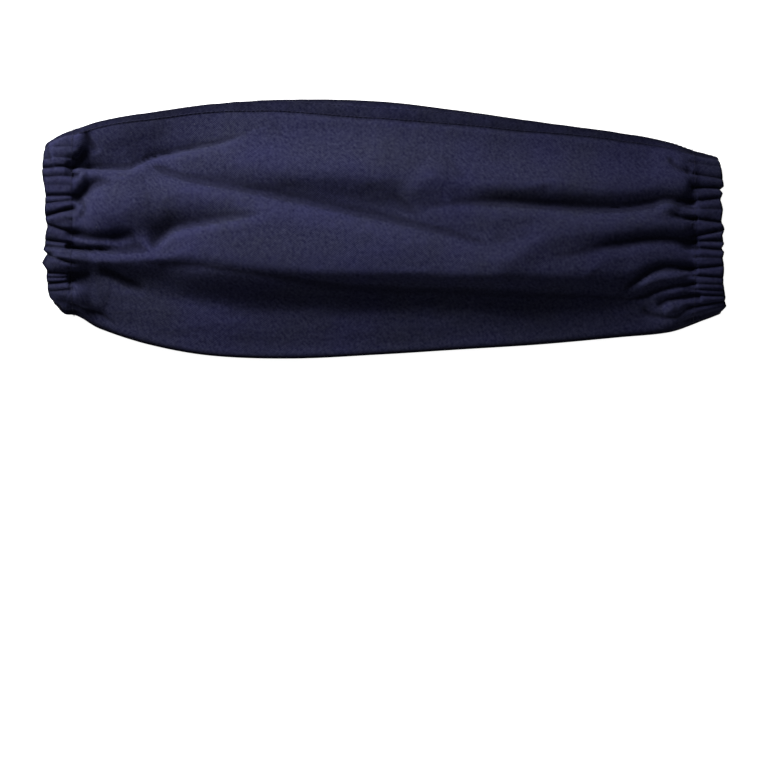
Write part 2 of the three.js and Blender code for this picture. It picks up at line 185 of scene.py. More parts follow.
# Grooves of the gathered hems on the upper side, a row for each. at_end and at_row: its height in
# the photo's frame at the end fold and at the stitch row. depth: share of the deepest groove.
# run: millimetres that it reaches into the body.
Groove = namedtuple("Groove", "at_end at_row depth run")
UPPER_GROOVES = [Groove(*row) for row in (
    (149, 145, 0.3, 3), (157, 157, 0.5, 3), (166.5, 165.5, 1.0, 5), (176, 175, 0.6, 4),
    (184, 185, 0.3, 3), (195.5, 195, 0.8, 5), (203, 200, 0.6, 5), (216, 208, 1.0, 4),
    (224, 232.5, 1.0, 8), (240, 243.5, 0.8, 8), (246, 248, 0.6, 8), (254, 263, 0.8, 6),
    (273.5, 273.5, 0.9, 6), (278, 278, 0.7, 6), (284.5, 282, 0.95, 7), (292, 290, 0.4, 4),
)]
WRIST_GROOVES = [Groove(*row) for row in (
    (166, 162, 0.3, 3), (178, 173, 0.7, 6), (187.5, 187, 1.0, 2), (197.5, 200.5, 0.9, 8),
    (209, 208, 0.4, 4), (222.5, 218.5, 1.0, 7), (229.5, 236.5, 0.9, 8), (241, 241, 0.9, 7),
    (250, 247.5, 0.9, 6), (258, 257, 0.3, 4), (265.5, 269, 0.85, 8), (278, 276, 0.9, 7),
    (285, 284, 0.6, 7), (291, 290, 0.6, 6), (296.5, 296, 0.8, 7), (302, 308, 0.8, 5),
)]

# The end folds in the photo's frame, a row for each spot of their scalloped lines
EndSpot = namedtuple("EndSpot", "across along")
UPPER_END = [EndSpot(*spot) for spot in (
    (141, 47.4), (146, 46), (152, 44.6), (160, 43.6), (169, 42.9), (178, 43.6), (186, 45.4), (193, 46.3),
    (203, 46), (211, 45.8), (219, 46.4), (226.8, 48.4), (232, 47), (238, 46), (244, 46), (249.6, 44.2),
    (253.6, 48), (258, 45.6), (262.8, 43.2), (267, 46), (270, 47.8), (278, 47.2), (286, 48.4),
    (292, 48.8), (298, 51), (302, 53.4), (306, 57),
)]
WRIST_END = [EndSpot(*spot) for spot in (
    (154, 711), (157, 717), (161, 718.6), (168, 720.4), (177, 721.6), (185.5, 722.8), (188.6, 718.8),
    (192.8, 721.6), (199.7, 719.4), (208.9, 722), (214, 721.2), (220.4, 720.4), (229, 723.8),
    (235.3, 721.2), (243.3, 723.2), (248, 720.8), (251.6, 723.2), (258, 721.6), (265, 723), (275, 722.6),
    (283, 722.2), (290, 723.2), (298.7, 724.4), (303, 723.6), (308, 725), (312, 720),
)]
# Millimetres by which the gathers draw the ends back
END_GIVE = 1.15

# The felled band's inner edge, a row for each spot along the photo's frame. inset: distance from
# the far edge in millimetres. sink: depth of the groove along it, in millimetres.
SeamSpot = namedtuple("SeamSpot", "along inset sink")
SEAM_SPOTS = [SeamSpot(*spot) for spot in (
    (70, 5.0, 0.1), (140, 5.2, 0.1), (200, 6.0, 0.2), (240, 7.4, 0.4), (280, 8.8, 0.5), (320, 11.0, 0.7),
    (350, 12.4, 0.85), (380, 12.8, 0.75), (420, 11.6, 0.95), (460, 10.2, 0.9), (500, 8.9, 0.8),
    (540, 7.4, 0.8), (580, 6.5, 0.7), (620, 6.0, 0.7), (700, 4.8, 0.5),
)]
# The inset is evened out over spots at these distances along the sleeve, in millimetres
SEAM_EVENING = (-12, -4, 4, 12)
# How far the groove reaches under the band and into the body, in millimetres
SEAM_GROOVE = (3.2, 2.2)

# Small wrinkles. height: in millimetres. along and around: run of one bump, in millimetres.
# reach: how far they run from the stitch row or the seam. draw: what is added to the seed.
Wrinkle = namedtuple("Wrinkle", "height along around reach draw")
ROW_PUCKER = Wrinkle(0.34, 9, 1.7, 3.2, 11)
ROW_CRIMP = Wrinkle(0.26, 13, 2.3, 14, 12)
SEAM_PUCKER = Wrinkle(0.28, 5.5, 30, 6, 13)
SIDE_CRIMP = Wrinkle(0.3, 9, 2.1, 7, 17)
SOFT = Wrinkle(0.75, 46, 27, None, 14)
CRUMPLE = Wrinkle(0.16, 19, 9, None, 15)
FINE = Wrinkle(0.07, 6.5, 4.2, None, 16)

# How fast a crease dies away, and the share of a fold's squared height that its ends keep
CREASE_RATE = 1.7
FOLD_LEAST = 0.006
# Millimetres along the sleeve in which a gather's wrinkles shift by one bump
WRINKLE_LEAN = 40
# How fast the seam's groove sets in from the stitch row, in millimetres
SEAM_ONSET = 6
# Stands for any place that isn't beside the seam
NO_SEAM = 99
# Ranges of the underside's gathers: stray as a share of their spacing, slant and run in
# millimetres, depth as a share
UNDER_STRAY = (-0.3, 0.3)
UNDER_SLANT = (-2, 2)
UNDER_DEPTH = (0.35, 0.95)
UNDER_RUN = (5, 16)
# How square the bottom of a gather is
GROOVE_POWER = 1.15
# How late folds die away towards the sides, and how late the sides' own gathers set in
HOLD_POWER = 12
SIDE_POWER = 8
# Millimetres across and along in which the crumples shift by one bump, and the soft swells' shift
CRUMPLE_LEAN = (60, 70)
SOFT_SHIFT = (3.1, 1.7)
# Shares and reaches in millimetres of the stitch row's narrow and wide pull
PINCHES = ((0.3, 1.3), (0.7, 4.5))
WRIST_PINCH = 0.5
# Millimetres between the gathers that wrap round the sides of a hem
SIDE_WAVE = 5.4
# Reach of the painted shade along the pressed edge from the sides and from the end folds, in millimetres
SIDE_RIM = 2.6
END_RIM = 1.3
# The lowest that cloth lies above the floor, in millimetres
FLOOR_GAP = 0.02


def length_property(name, description, default):
    """A size in metres that the panel shows."""
    return FloatProperty(name=name, description=description, default=default, unit="LENGTH")


def colour_property(name, description, default):
    """A colour that the panel shows."""
    return FloatVectorProperty(name=name, description=description, default=default, subtype="COLOR")


class SleeveSizes(bpy.types.PropertyGroup):
    """Sizes of the sleeve as it lies."""

    length: length_property("Length", "End to end", CAD_LENGTH)
    width: length_property("Width", "Across the widest section", 0.174)
    height: length_property("Height", "Loft of the fullest section", 0.033)
    upper_width: length_property("Upper-arm opening width", "Across the wide end", 0.105)
    upper_height: length_property("Upper-arm opening height", "Loft of the wide end", 0.028)
    wrist_width: length_property("Wrist opening width", "Across the wrist end", 0.104)
    wrist_height: length_property("Wrist opening height", "Loft of the wrist end", 0.026)
    cloth: length_property("Cloth thickness", "One layer of twill", 0.0009)
    hem: length_property("Hem length", "End fold to stitch row", (CAD_LENGTH - CAD_BODY_LENGTH) / 2)


class GatherSizes(bpy.types.PropertyGroup):
    """How deeply the elastic gathers the cloth."""

    depth: length_property("Groove depth", "Deepest groove of a hem", 0.0034)
    spread: length_property("Groove spread", "Half width of a groove in a hem", 0.0017)
    opening: length_property("Groove opening", "Half width of a groove in the body", 0.0032)
    relief: FloatProperty(name="Fold relief", description="Scale of every fold's height", default=1.0)
    pinch: length_property("Stitch row pinch", "How far the stitch row pulls in", 0.0011)
    under_count: IntProperty(
        name="Grooves underneath", description="Grooves of each hem's lower side", default=17, min=2
    )
    seed: IntProperty(name="Seed", description="Seed of the small wrinkles", default=7)


class SeamSizes(bpy.types.PropertyGroup):
    """The felled seam and every row of stitches."""

    inset: length_property("Seam inset", "Least distance from the far edge to the band", 0.0004)
    width: length_property("Seam width", "Width of the turned band", 0.0078)
    allowance: length_property("Seam allowance", "Width of the band before it was turned", 0.011)
    thickness: length_property("Seam thickness", "How proud the band stands", 0.0004)
    pitch: length_property("Stitch pitch", "Stitch to stitch", 0.003)
    stitch: length_property("Stitch length", "Length of thread that shows", 0.0024)
    thread: length_property("Thread", "Thread diameter", 0.00042)


class ClothFinish(bpy.types.PropertyGroup):
    """Colours and weave of the twill."""

    navy: colour_property("Navy", "Colour of the dyed yarn", (0.0097, 0.0099, 0.0297))
    faded: colour_property("Faded navy", "Colour of the paler patches", (0.011, 0.0118, 0.0228))
    # Abrasion on the crests, with a painted highlight along them
    rubbed_and_lit: colour_property("Rubbed navy", "Colour along worn and lit crests", (0.0185, 0.019, 0.05))
    # Painted shade: the navy down in the folds
    fold_shade: colour_property("Sunk navy", "Colour down in the folds", (0.0048, 0.0049, 0.0108))
    # Painted shade along the pressed edges and the end folds
    edge: colour_property("Edge", "Colour of the shadowed edges", (0.0012, 0.0012, 0.003))
    rib: length_property("Twill rib", "Rib to rib", 0.00085)
    band: colour_property("Elastic", "Colour of the elastic", (0.62, 0.6, 0.55))


class StudioSettings(bpy.types.PropertyGroup):
    """Floor, lights and camera."""

    distance: length_property("Camera distance", "Camera to cloth", 1.7)
    floor: colour_property("Floor", "Colour of the floor", (0.6, 0.6, 0.6))
    glow: FloatProperty(name="Floor glow", description="How strongly the lit table shines", default=0.93)
    key: FloatProperty(name="Key light", description="Power of the key light", default=3.2, unit="POWER")
    sky: FloatProperty(name="Sky", description="Strength of the even light", default=0.2)


def to_mm(px, py):
    """Millimetres along and across the sleeve for a spot of the photo's frame."""
    return (px - PHOTO_ORIGIN[0]) * PHOTO_MM, (PHOTO_ORIGIN[1] - py) * PHOTO_MM


def bell(distance, reach):
    """Smooth hump that is 1 at no distance and dies away over the reach."""
    return np.exp(-((distance / reach) ** 2))


def ease(share):
    """Smooth step from 0 to 1."""
    return share * share * (3 - 2 * share)


def smooth_noise(u, v, seed):
    """Smooth noise from -1 to 1 over two coordinates, one bump to a unit."""
    side = 64
    lattice = np.random.RandomState(seed).rand(side, side) * 2 - 1
    iu = np.floor(u).astype(int)
    iv = np.floor(v).astype(int)
    fu = ease(u - iu)
    fv = ease(v - iv)
    a = lattice[iu % side, iv % side]
    b = lattice[(iu + 1) % side, iv % side]
    c = lattice[iu % side, (iv + 1) % side]
    d = lattice[(iu + 1) % side, (iv + 1) % side]
    return (a * (1 - fu) + b * fu) * (1 - fv) + (c * (1 - fu) + d * fu) * fv


def smooth_line(spots, steps=8):
    """Points of a smooth line through the spots, in millimetres."""
    knots = np.array([to_mm(*spot) for spot in spots])
    padded = np.vstack([2 * knots[0] - knots[1], knots, 2 * knots[-1] - knots[-2]])
    points = []
    for i in range(1, len(padded) - 2):
        before, start, end, after = padded[i - 1 : i + 3]
        for t in np.arange(steps) / steps:
            bend = (2 * before - 5 * start + 4 * end - after) * t**2
            twist = (3 * start - before - 3 * end + after) * t**3
            points.append(0.5 * (2 * start + (end - before) * t + bend + twist))
    points.append(knots[-1])
    return np.array(points)


def line_distance(x, y, line):
    """Distance of every point from a line, which side it is on, and its share along the line."""
    best = np.full(x.shape, np.inf)
    side = np.zeros(x.shape)
    share = np.zeros(x.shape)
    count = len(line) - 1
    for i in range(count):
        ax, ay = line[i]
        dx, dy = line[i + 1] - line[i]
        t = np.clip(((x - ax) * dx + (y - ay) * dy) / (dx * dx + dy * dy), 0, 1)
        distance = np.hypot(x - ax - t * dx, y - ay - t * dy)
        closer = distance < best
        best = np.where(closer, distance, best)
        side = np.where(closer, np.sign(dx * (y - ay) - dy * (x - ax)), side)
        share = np.where(closer, (i + t) / count, share)
    return best, side, share


def sides_of(turn):
    """Share of the half width, and if it is on the crown: turn 0 to 1 is above, 1 to 2 below."""
    turn = np.mod(turn, 2)
    crown = turn < 1
    return np.where(crown, 1 - 2 * turn, 2 * turn - 3), crown


def fold_height(x, y, fold):
    """Height that one fold adds at every point."""
    line = smooth_line(fold.line)
    best, side, share = line_distance(x, y, line)
    reach = np.where(side * np.sign(line[-1][0] - line[0][0]) > 0, fold.far, fold.near)
    form = (1 - fold.sharp) * bell(best, reach)
    form += fold.sharp * np.exp(-CREASE_RATE * best / reach)
    coming = np.clip(share / fold.start, 0, 1)
    going = np.clip((1 - share) / fold.fade, 0, 1)
    ends = np.minimum(coming, going)
    return fold.rise * form * np.sqrt(FOLD_LEAST + (1 - FOLD_LEAST) * ease(ends))


class SleeveForm:
    """Works out every point of the cloth, in millimetres."""

    def __init__(self, scene):
        sizes = scene.sleeve_sizes
        gathers = scene.sleeve_gathers
        seam = scene.sleeve_seam
        self.length = sizes.length / MM
        self.width = sizes.width / MM
        self.height = sizes.height / MM
        self.openings = {
            -1: (sizes.upper_width / MM, sizes.upper_height / MM),
            1: (sizes.wrist_width / MM, sizes.wrist_height / MM),
        }
        self.cloth = sizes.cloth / MM
        self.hem = sizes.hem / MM
        self.depth = gathers.depth / MM
        self.spread = gathers.spread / MM
        self.opening = gathers.opening / MM
        self.pinch = gathers.pinch / MM
        self.fold_scale = gathers.relief
        self.under_count = gathers.under_count
        self.seed = gathers.seed
        self.seam_least = seam.inset / MM
        self.seam_width = seam.width / MM
        self.view = scene.sleeve_studio.distance / MM

    def read(self, along, column):
        """Smooth value of one column of the sections."""
        rows = np.array([[row.along, getattr(row, column)] for row in SECTIONS])
        knots, values = rows[:, 0], rows[:, 1]
        slopes = np.empty(len(knots))
        slopes[1:-1] = (values[2:] - values[:-2]) / (knots[2:] - knots[:-2])
        slopes[0] = (values[1] - values[0]) / (knots[1] - knots[0])
        slopes[-1] = (values[-1] - values[-2]) / (knots[-1] - knots[-2])
        share = np.clip(along, 0, 1)
        i = np.clip(np.searchsorted(knots, share, side="right") - 1, 0, len(knots) - 2)
        span = knots[i + 1] - knots[i]
        t = (share - knots[i]) / span
        leaving = slopes[i] * span * t * (1 - t) ** 2
        arriving = slopes[i + 1] * span * t * t * (t - 1)
        return values[i] + (values[i + 1] - values[i]) * ease(t) + leaving + arriving

    def section(self, x):
        """Half width, middle and height of the section at x."""
        along = x / self.length + 0.5
        wristward = along > WIDEST_ALONG
        opening_width = np.where(wristward, self.openings[1][0], self.openings[-1][0])
        opening_height = np.where(wristward, self.openings[1][1], self.openings[-1][1])
        width = opening_width + (self.width - opening_width) * self.read(along, "swell")
        height = opening_height + (self.height - opening_height) * self.read(along, "loft")
        return width / 2, self.read(along, "drift") * self.width, height

    def smooth_point(self, x, turn):
        """Point of the smooth section, its share of the half width, and if it is on the crown."""
        half, middle, height = self.section(x)
        across, crown = sides_of(turn)
        edge = EDGE_RISE * height
        roll = np.clip(1 - (1 - np.abs(across)) * half / (EDGE_ROLL * edge), 0, 1)
        over = edge + (height - edge) * np.sqrt(np.clip(1 - np.abs(across) ** CROWN_SQUARENESS, 0, 1))
        below = edge * (1 - np.sqrt(np.clip(1 - roll * roll, 0, 1)))
        return middle + half * across, np.where(crown, over, below), across, crown

    def outward(self, x, turn):
        """Outward direction of the smooth section."""
        step = 1e-4
        ahead = self.smooth_point(x, turn + step)
        behind = self.smooth_point(x, turn - step)
        out_y = ahead[1] - behind[1]
        out_z = behind[0] - ahead[0]
        size = np.hypot(out_y, out_z)
        return out_y / size, out_z / size

    def seen(self, x, y, z):
        """Spot at the height of the sleeve's edge behind which the photo's camera sees a point."""
        centre_x, centre_y = to_mm(PHOTO_SIDE / 2, PHOTO_SIDE / 2)
        scale = self.view / (self.view - (z - EDGE_RISE * self.height))
        return centre_x + (x - centre_x) * scale, centre_y + (y - centre_y) * scale

    def seam_reach(self, x):
        """Insets of the felled band's outer and inner edge, and the depth of the groove beside it."""
        along, inset, sink = np.array(
            [(to_mm(spot.along, 0)[0], spot.inset, spot.sink) for spot in SEAM_SPOTS]
        ).T
        inner = sum(np.interp(x + shift, along, inset) for shift in SEAM_EVENING) / len(SEAM_EVENING)
        outer = np.maximum(inner - self.seam_width, self.seam_least)
        return outer, inner, np.interp(x, along, sink)

    def grooves(self, x, y, seen_y, crown):
        """Depth of the gathers at every point."""
        smooth_share = np.ones(x.shape)
        half, middle, _ = self.section(x)
        for end, rows in ((-1, UPPER_GROOVES), (1, WRIST_GROOVES)):
            here = x * end > 0
            reach = self.length / 2 - np.abs(x)
            into_body = np.clip(reach - self.hem, 0, None)
            in_hem = np.clip(reach / self.hem, 0, 1)
            row_half, row_middle, _ = self.section(np.array(end * (self.length / 2 - self.hem)))
            fan = np.sqrt(half / row_half)
            draw = np.random.RandomState(self.seed + end)
            under_half = self.openings[end][0] / 2
            for i in range(self.under_count):
                at = ((i + 0.5 + draw.uniform(*UNDER_STRAY)) / self.under_count * 2 - 1) * under_half
                slant = draw.uniform(*UNDER_SLANT)
                depth = draw.uniform(*UNDER_DEPTH)
                run = draw.uniform(*UNDER_RUN)
                line = row_middle + (at + slant * (1 - in_hem)) * fan
                gather = self.groove(y - line, into_body, depth, run)
                smooth_share *= 1 - gather * (here & ~crown)
            for row in rows:
                end_y = to_mm(0, row.at_end)[1]
                row_y = to_mm(0, row.at_row)[1]
                line = end_y + (row_y - end_y) * in_hem
                line = np.where(into_body > 0, middle + (row_y - row_middle) * fan, line)
                gather = self.groove(seen_y - line, into_body, row.depth, row.run)
                smooth_share *= 1 - gather * (here & crown)
        return self.depth * (1 - smooth_share)

    def groove(self, distance, into_body, depth, run):
        """Share of full depth of one gather, full in the hem, then wider and shallower into the body."""
        spread = self.spread + (self.opening - self.spread) * np.clip(into_body / run, 0, 1)
        form = np.exp(-((np.abs(distance) / spread) ** GROOVE_POWER))
        return depth * form * bell(into_body, run)

    def side_gathers(self, x, z, across, from_row):
        """Depth of the gathers that wrap round the sides of a hem."""
        side = np.abs(across) ** SIDE_POWER * bell(np.clip(from_row, 0, None), SIDE_CRIMP.reach)
        above = z - EDGE_RISE * self.openings[1][1] + 0.5 * np.sign(x) * np.sign(across)
        wave = 0.5 - 0.5 * np.cos(2 * math.pi * above / SIDE_WAVE)
        climb = z / SIDE_CRIMP.around + x / WRINKLE_LEAN
        along = x / SIDE_CRIMP.along + np.sign(across) * 7
        crimp = smooth_noise(climb, along, self.seed + SIDE_CRIMP.draw)
        return side * (0.5 * self.depth * wave + SIDE_CRIMP.height * crimp)

    def relief(self, x, y, z, turn):
        """How far the cloth stands out from the smooth section."""
        half, middle, _ = self.section(x)
        across, crown = sides_of(turn)
        hold = 1 - np.abs(across) ** HOLD_POWER
        seen_x, seen_y = self.seen(x, y, z)
        out = np.zeros(x.shape)
        for fold in FOLDS:
            out += np.where(crown, fold_height(seen_x, seen_y, fold), 0)
        out *= hold * self.fold_scale
        out -= self.grooves(x, y, seen_y, crown) * hold
        from_row = self.length / 2 - np.abs(x) - self.hem
        out -= self.side_gathers(x, z, across, from_row)
        pinch = self.pinch * np.where(x > 0, WRIST_PINCH, 1.0)
        out -= pinch * sum(share * bell(from_row, reach) for share, reach in PINCHES) * hold
        around = np.where(crown, y, 2 * half + y)
        lean = around / ROW_PUCKER.around
        pucker = smooth_noise(lean, x / ROW_PUCKER.along, self.seed + ROW_PUCKER.draw)
        out += ROW_PUCKER.height * pucker * bell(from_row, ROW_PUCKER.reach) * hold
        lean = around / ROW_CRIMP.around + x / WRINKLE_LEAN
        crimp = smooth_noise(lean, x / ROW_CRIMP.along, self.seed + ROW_CRIMP.draw)
        out += ROW_CRIMP.height * crimp * np.clip(1 - from_row / ROW_CRIMP.reach, 0, 1) * hold
        _, inner, sink = self.seam_reach(x)
        far_side = crown & (y > middle)
        seam_line = np.where(far_side, half - np.abs(y - middle) - inner, NO_SEAM)
        in_body = np.clip(from_row / SEAM_ONSET, 0, 1)
        out -= sink * bell(seam_line, np.where(seam_line < 0, *SEAM_GROOVE)) * in_body
        pucker = self.wrinkle(SEAM_PUCKER, x, around)
        out += pucker * bell(seam_line + SEAM_PUCKER.reach / 2, SEAM_PUCKER.reach) * in_body
        soft = self.wrinkle(SOFT, x, around, *SOFT_SHIFT)
        u = x / CRUMPLE.along + y / CRUMPLE_LEAN[0]
        v = around / CRUMPLE.around - x / CRUMPLE_LEAN[1]
        crumple = smooth_noise(u, v, self.seed + CRUMPLE.draw)
        crumple = CRUMPLE.height * (1 - 2 * np.abs(crumple))
        quiet = np.where(crown, 1.0, 0.0) * hold
        out += quiet * (soft + crumple + self.wrinkle(FINE, x, around))
        return out

    def wrinkle(self, kind, x, around, shift_along=0, shift_around=0):
        """Height of one kind of small wrinkle all over the cloth."""
        u = x / kind.along + shift_along
        v = around / kind.around + shift_around
        return kind.height * smooth_noise(u, v, self.seed + kind.draw)

    def margin_drop(self, x, y, turn):
        """How much lower the flattened margins of the upper side lie than the smooth section."""
        half, middle, _ = self.section(x)
        along = x / self.length + 0.5
        loft = np.clip(self.read(along, "loft"), 0, 1)
        from_row = self.length / 2 - np.abs(x) - self.hem
        _, crown = sides_of(turn)
        drop = np.zeros(x.shape)
        for margin in MARGINS:
            inset = half - margin.side * (y - middle)
            coming = 1 - np.exp(-np.clip(inset, 0, None) / margin.edge)
            shift = np.interp(along, (0, 0.5, 1), (margin.upper_shift, 0, margin.wrist_shift))
            going = np.clip((margin.end + shift - inset) / (margin.end - margin.flat), 0, 1)
            onset = np.clip(from_row / np.where(x < 0, margin.upper, margin.wrist), 0, 1)
            drop += margin.drop * loft**LOFT_POWER * coming * ease(going) * ease(onset) * crown
        return drop

    def rim(self, x, turn):
        """How near each point is to a pressed edge of the cloth, up to 1: the mask of the painted shade
        along the edges.
        """
        y, _, _, _ = self.smooth_point(x, turn)
        half, middle, _ = self.section(x)
        sides = bell(half - np.abs(y - middle), SIDE_RIM)
        ends = bell(self.length / 2 - np.abs(x), END_RIM)
        return np.maximum(sides, ends)

    def end_shift(self, x, y, z):
        """How far the scalloped end folds move the cloth of a hem along the sleeve."""
        shift = np.zeros(x.shape)
        level = np.maximum(z, EDGE_RISE * self.height)
        for end, spots in ((-1, UPPER_END), (1, WRIST_END)):
            end_x = np.full(x.shape, end * self.length / 2)
            seen_x, seen_y = self.seen(end_x, y, level)
            spots_x, spots_y = np.array([to_mm(spot.along, spot.across) for spot in spots]).T
            target = np.interp(seen_y, spots_y[::-1], spots_x[::-1])
            held = 1 - np.clip((self.length / 2 - np.abs(x)) / self.hem, 0, 1)
            shift += np.where(x * end > 0, (target - seen_x + end * END_GIVE) * held**1.5, 0)
        return shift

    def point(self, x, turn, depth):
        """Points at a depth below the cloth's outer face, and the relief there."""
        y, z, _, _ = self.smooth_point(x, turn)
        out_y, out_z = self.outward(x, turn)
        z = z - self.margin_drop(x, y, turn)
        relief = self.relief(x, y, z, turn)
        out = relief - depth
        place = np.stack([x + self.end_shift(x, y, z), y + out_y * out, z + out_z * out], axis=-1)
        place[..., 2] = np.maximum(place[..., 2], FLOOR_GAP)
        return place, relief


def crowded(steps, amount=0.45):
    """Shares from 0 up to 1 that crowd towards both ends, without the last."""
    even = np.arange(steps) / steps * 2 - 1
    return ((1 - amount) * even + amount * np.sin(even * math.pi / 2) + 1) / 2


def cloth_turns(crown_steps, under_steps):
    """Turns round the sleeve, first over the crown and then underneath."""
    return np.concatenate([crowded(crown_steps), 1 + crowded(under_steps)])


# Rounds of blurring that find the cloth beside a crest, the shares of each spot and of those
# across and along in a round, and the height of a full crest in millimetres
CREST_BLURS = 14
BLUR_SHARES = (0.5, 0.3, 0.2)
CREST_HEIGHT = 0.35
# Edges sharper than this are shaded as corners, in degrees
CORNER_ANGLE = 60


def crest_values(relief):
    """How far each spot stands above the cloth beside it, from -1 to 1."""
    blurred = relief.copy()
    own, beside, before = BLUR_SHARES
    for _ in range(CREST_BLURS):
        across = (np.roll(blurred, 1, axis=1) + np.roll(blurred, -1, axis=1)) / 2
        along = blurred.copy()
        along[1:-1] = (blurred[2:] + blurred[:-2]) / 2
        blurred = own * blurred + beside * across + before * along
    return np.clip((relief - blurred) / CREST_HEIGHT, -1, 1)


def new_object(name, data):
    """Object of its own in the scene, at the origin."""
    thing = bpy.data.objects.new(name, data)
    bpy.context.scene.collection.objects.link(thing)
    return thing


def ring_mesh(name, rings, reliefs, rims, reaches, closed=True):
    """Mesh object from rings of points, each joined to the next, with cloth coordinates."""
    rings = np.array(rings)
    count, around, _ = rings.shape
    steps = np.linalg.norm(np.roll(rings, -1, axis=1) - rings, axis=2)
    arcs = np.concatenate([np.zeros((count, 1)), np.cumsum(steps, axis=1)], axis=1)
    middle_arc = arcs[:, around // 2][:, None]
    i = np.arange(count if closed else count - 1)[:, None]
    j = np.arange(around)[None, :]
    next_i = (i + 1) % count
    next_j = (j + 1) % around
    faces = np.stack(
        [i * around + j, i * around + next_j, next_i * around + next_j, next_i * around + j], axis=-1
    ).reshape(-1, 4)
    rows, columns, next_rows = np.broadcast_arrays(i, j, next_i)
    corner_rows = np.stack([rows, rows, next_rows, next_rows], axis=-1).reshape(-1, 4)
    corner_columns = np.stack([columns, columns + 1, columns + 1, columns], axis=-1).reshape(-1, 4)
    mesh = bpy.data.meshes.new(name)
    mesh.from_pydata((rings.reshape(-1, 3) * MM).tolist(), [], faces.tolist())
    centred = arcs - middle_arc
    uv = np.stack([np.array(reaches)[corner_rows], centred[corner_rows, corner_columns]], axis=-1) * MM
    layer = mesh.uv_layers.new(name="cloth")
    layer.data.foreach_set("uv", uv.astype(np.float32).ravel())
    # The crest attribute drives the painted shade in the folds and the painted highlight on the crests,
    # the rim attribute the painted shade along the edges
    for label, values in (("crest", crest_values(reliefs)), ("rim", rims)):
        layer = mesh.attributes.new(label, "FLOAT", "POINT")
        layer.data.foreach_set("value", values.astype(np.float32).ravel())
    mesh.polygons.foreach_set("use_smooth", np.ones(len(faces), dtype=bool))
    mesh.set_sharp_from_angle(angle=math.radians(CORNER_ANGLE))
    mesh.update()
    return new_object(name, mesh)


def face_outwards(piece):
    """Turns a closed mesh right side out."""
    mesh = piece.data
    mesh.calc_loop_triangles()
    corners = np.empty(len(mesh.vertices) * 3)
    mesh.vertices.foreach_get("co", corners)
    corners = corners.reshape(-1, 3)
    triangles = np.empty(len(mesh.loop_triangles) * 3, dtype=int)
    mesh.loop_triangles.foreach_get("vertices", triangles)
    a, b, c = corners[triangles.reshape(-1, 3)].transpose(1, 0, 2)
    if np.einsum("ij,ij->i", a, np.cross(b, c)).sum() < 0:
        mesh.flip_normals()
    return piece


def swept_piece(name, form, stations, depths, turns):
    """Closed ring of cloth through matching lists of stations and depths."""
    x = np.repeat(np.array(stations, dtype=float)[:, None], len(turns), axis=1)
    turn = np.repeat(turns[None, :], len(stations), axis=0)
    depth = np.array(depths, dtype=float)[:, None]
    rings, reliefs = form.point(x, turn, depth)
    along = np.concatenate([[0], np.cumsum(np.hypot(np.diff(stations), np.diff(depths)))])
    return face_outwards(ring_mesh(name, rings, reliefs, form.rim(x, turn), along))


def settle(piece, slot, material, *nodes):
    """Gives a finished piece its material and its place in the frame."""
    piece.data.materials.clear()
    piece.data.materials.append(material)
    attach(piece, BODY)
    if nodes:
        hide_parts(*nodes)


def new_group(name, inputs, outputs):
    """Shader node group with its sockets, and its input and output nodes."""
    group = bpy.data.node_groups.new(name, "ShaderNodeTree")
    for label, kind, default in inputs:
        socket = group.interface.new_socket(label, in_out="INPUT", socket_type=kind)
        if default is not None:
            socket.default_value = default
    for label, kind in outputs:
        group.interface.new_socket(label, in_out="OUTPUT", socket_type=kind)
    return group, group.nodes.new("NodeGroupInput"), group.nodes.new("NodeGroupOutput")


class NodeMaker:
    """Short ways to add and join nodes in one tree."""

    def __init__(self, tree):
        self.tree = tree

    def add(self, kind, inputs=(), **settings):
        """Node with its settings, and a value or a link on each named input."""
        node = self.tree.nodes.new(kind)
        for key, value in settings.items():
            setattr(node, key, value)
        for key, value in dict(inputs).items():
            if isinstance(value, bpy.types.NodeSocket):
                self.link(value, node.inputs[key])
            else:
                node.inputs[key].default_value = value
        return node

    def math(self, operation, *values):
        """Result of a Math node."""
        return self.add("ShaderNodeMath", dict(enumerate(values)), operation=operation).outputs[0]

    def times(self, a, b):
        return self.math("MULTIPLY", a, b)

    def plus(self, a, b):
        return self.math("ADD", a, b)

    def wave(self, value):
        """Sine that turns once for each unit of the value."""
        return self.math("SINE", self.times(value, 2 * math.pi))

    def noise(self, place, scale, detail):
        return self.add("ShaderNodeTexNoise", {"Vector": place, "Scale": scale, "Detail": detail})

    def mix(self, share, a, b):
        """Colour a, with a share of colour b."""
        return self.add("ShaderNodeMix", {0: share, 6: a, 7: b}, data_type="RGBA").outputs[2]

    def ramp(self, value, low, high):
        """Share of the way from low to high, held between 0 and 1."""
        return self.add("ShaderNodeMapRange", {0: value, 1: low, 2: high}, clamp=True).outputs[0]

    def link(self, start, end):
        self.tree.links.new(start, end)


# Twill: metres that the yarns stray, slant of the ribs as run and rise, length of a float in
# ribs, depth of the dip between floats, roundness of a rib, and stretch of the slub along it
YARN_WANDER = (0.00045, 0.00045, 0.0)
RIB_SLANT = (0.6, 0.8)
FLOAT_LENGTH = 1.7
FLOAT_DEPTH = 0.16
RIB_ROUNDNESS = 0.7
SLUB_STRETCH = 0.4
SLUB_HEIGHT = 0.8
# Sizes of the noise patterns, in bumps to a metre
WANDER_SCALE = 210.0
SLUB_SCALE = 560.0
GRAIN_SCALE = 520.0
RUB_AND_LIGHT_SCALE = 130.0
MOTTLE_SCALE = 26.0
LINT_SCALE = 95.0
FUZZ_SCALE = 1500.0
# Part of a noise pattern's values that a mask spreads from 0 to 1
NOISE_SPREAD = (0.3, 0.7)
MOTTLE_SPREAD = (0.32, 0.68)
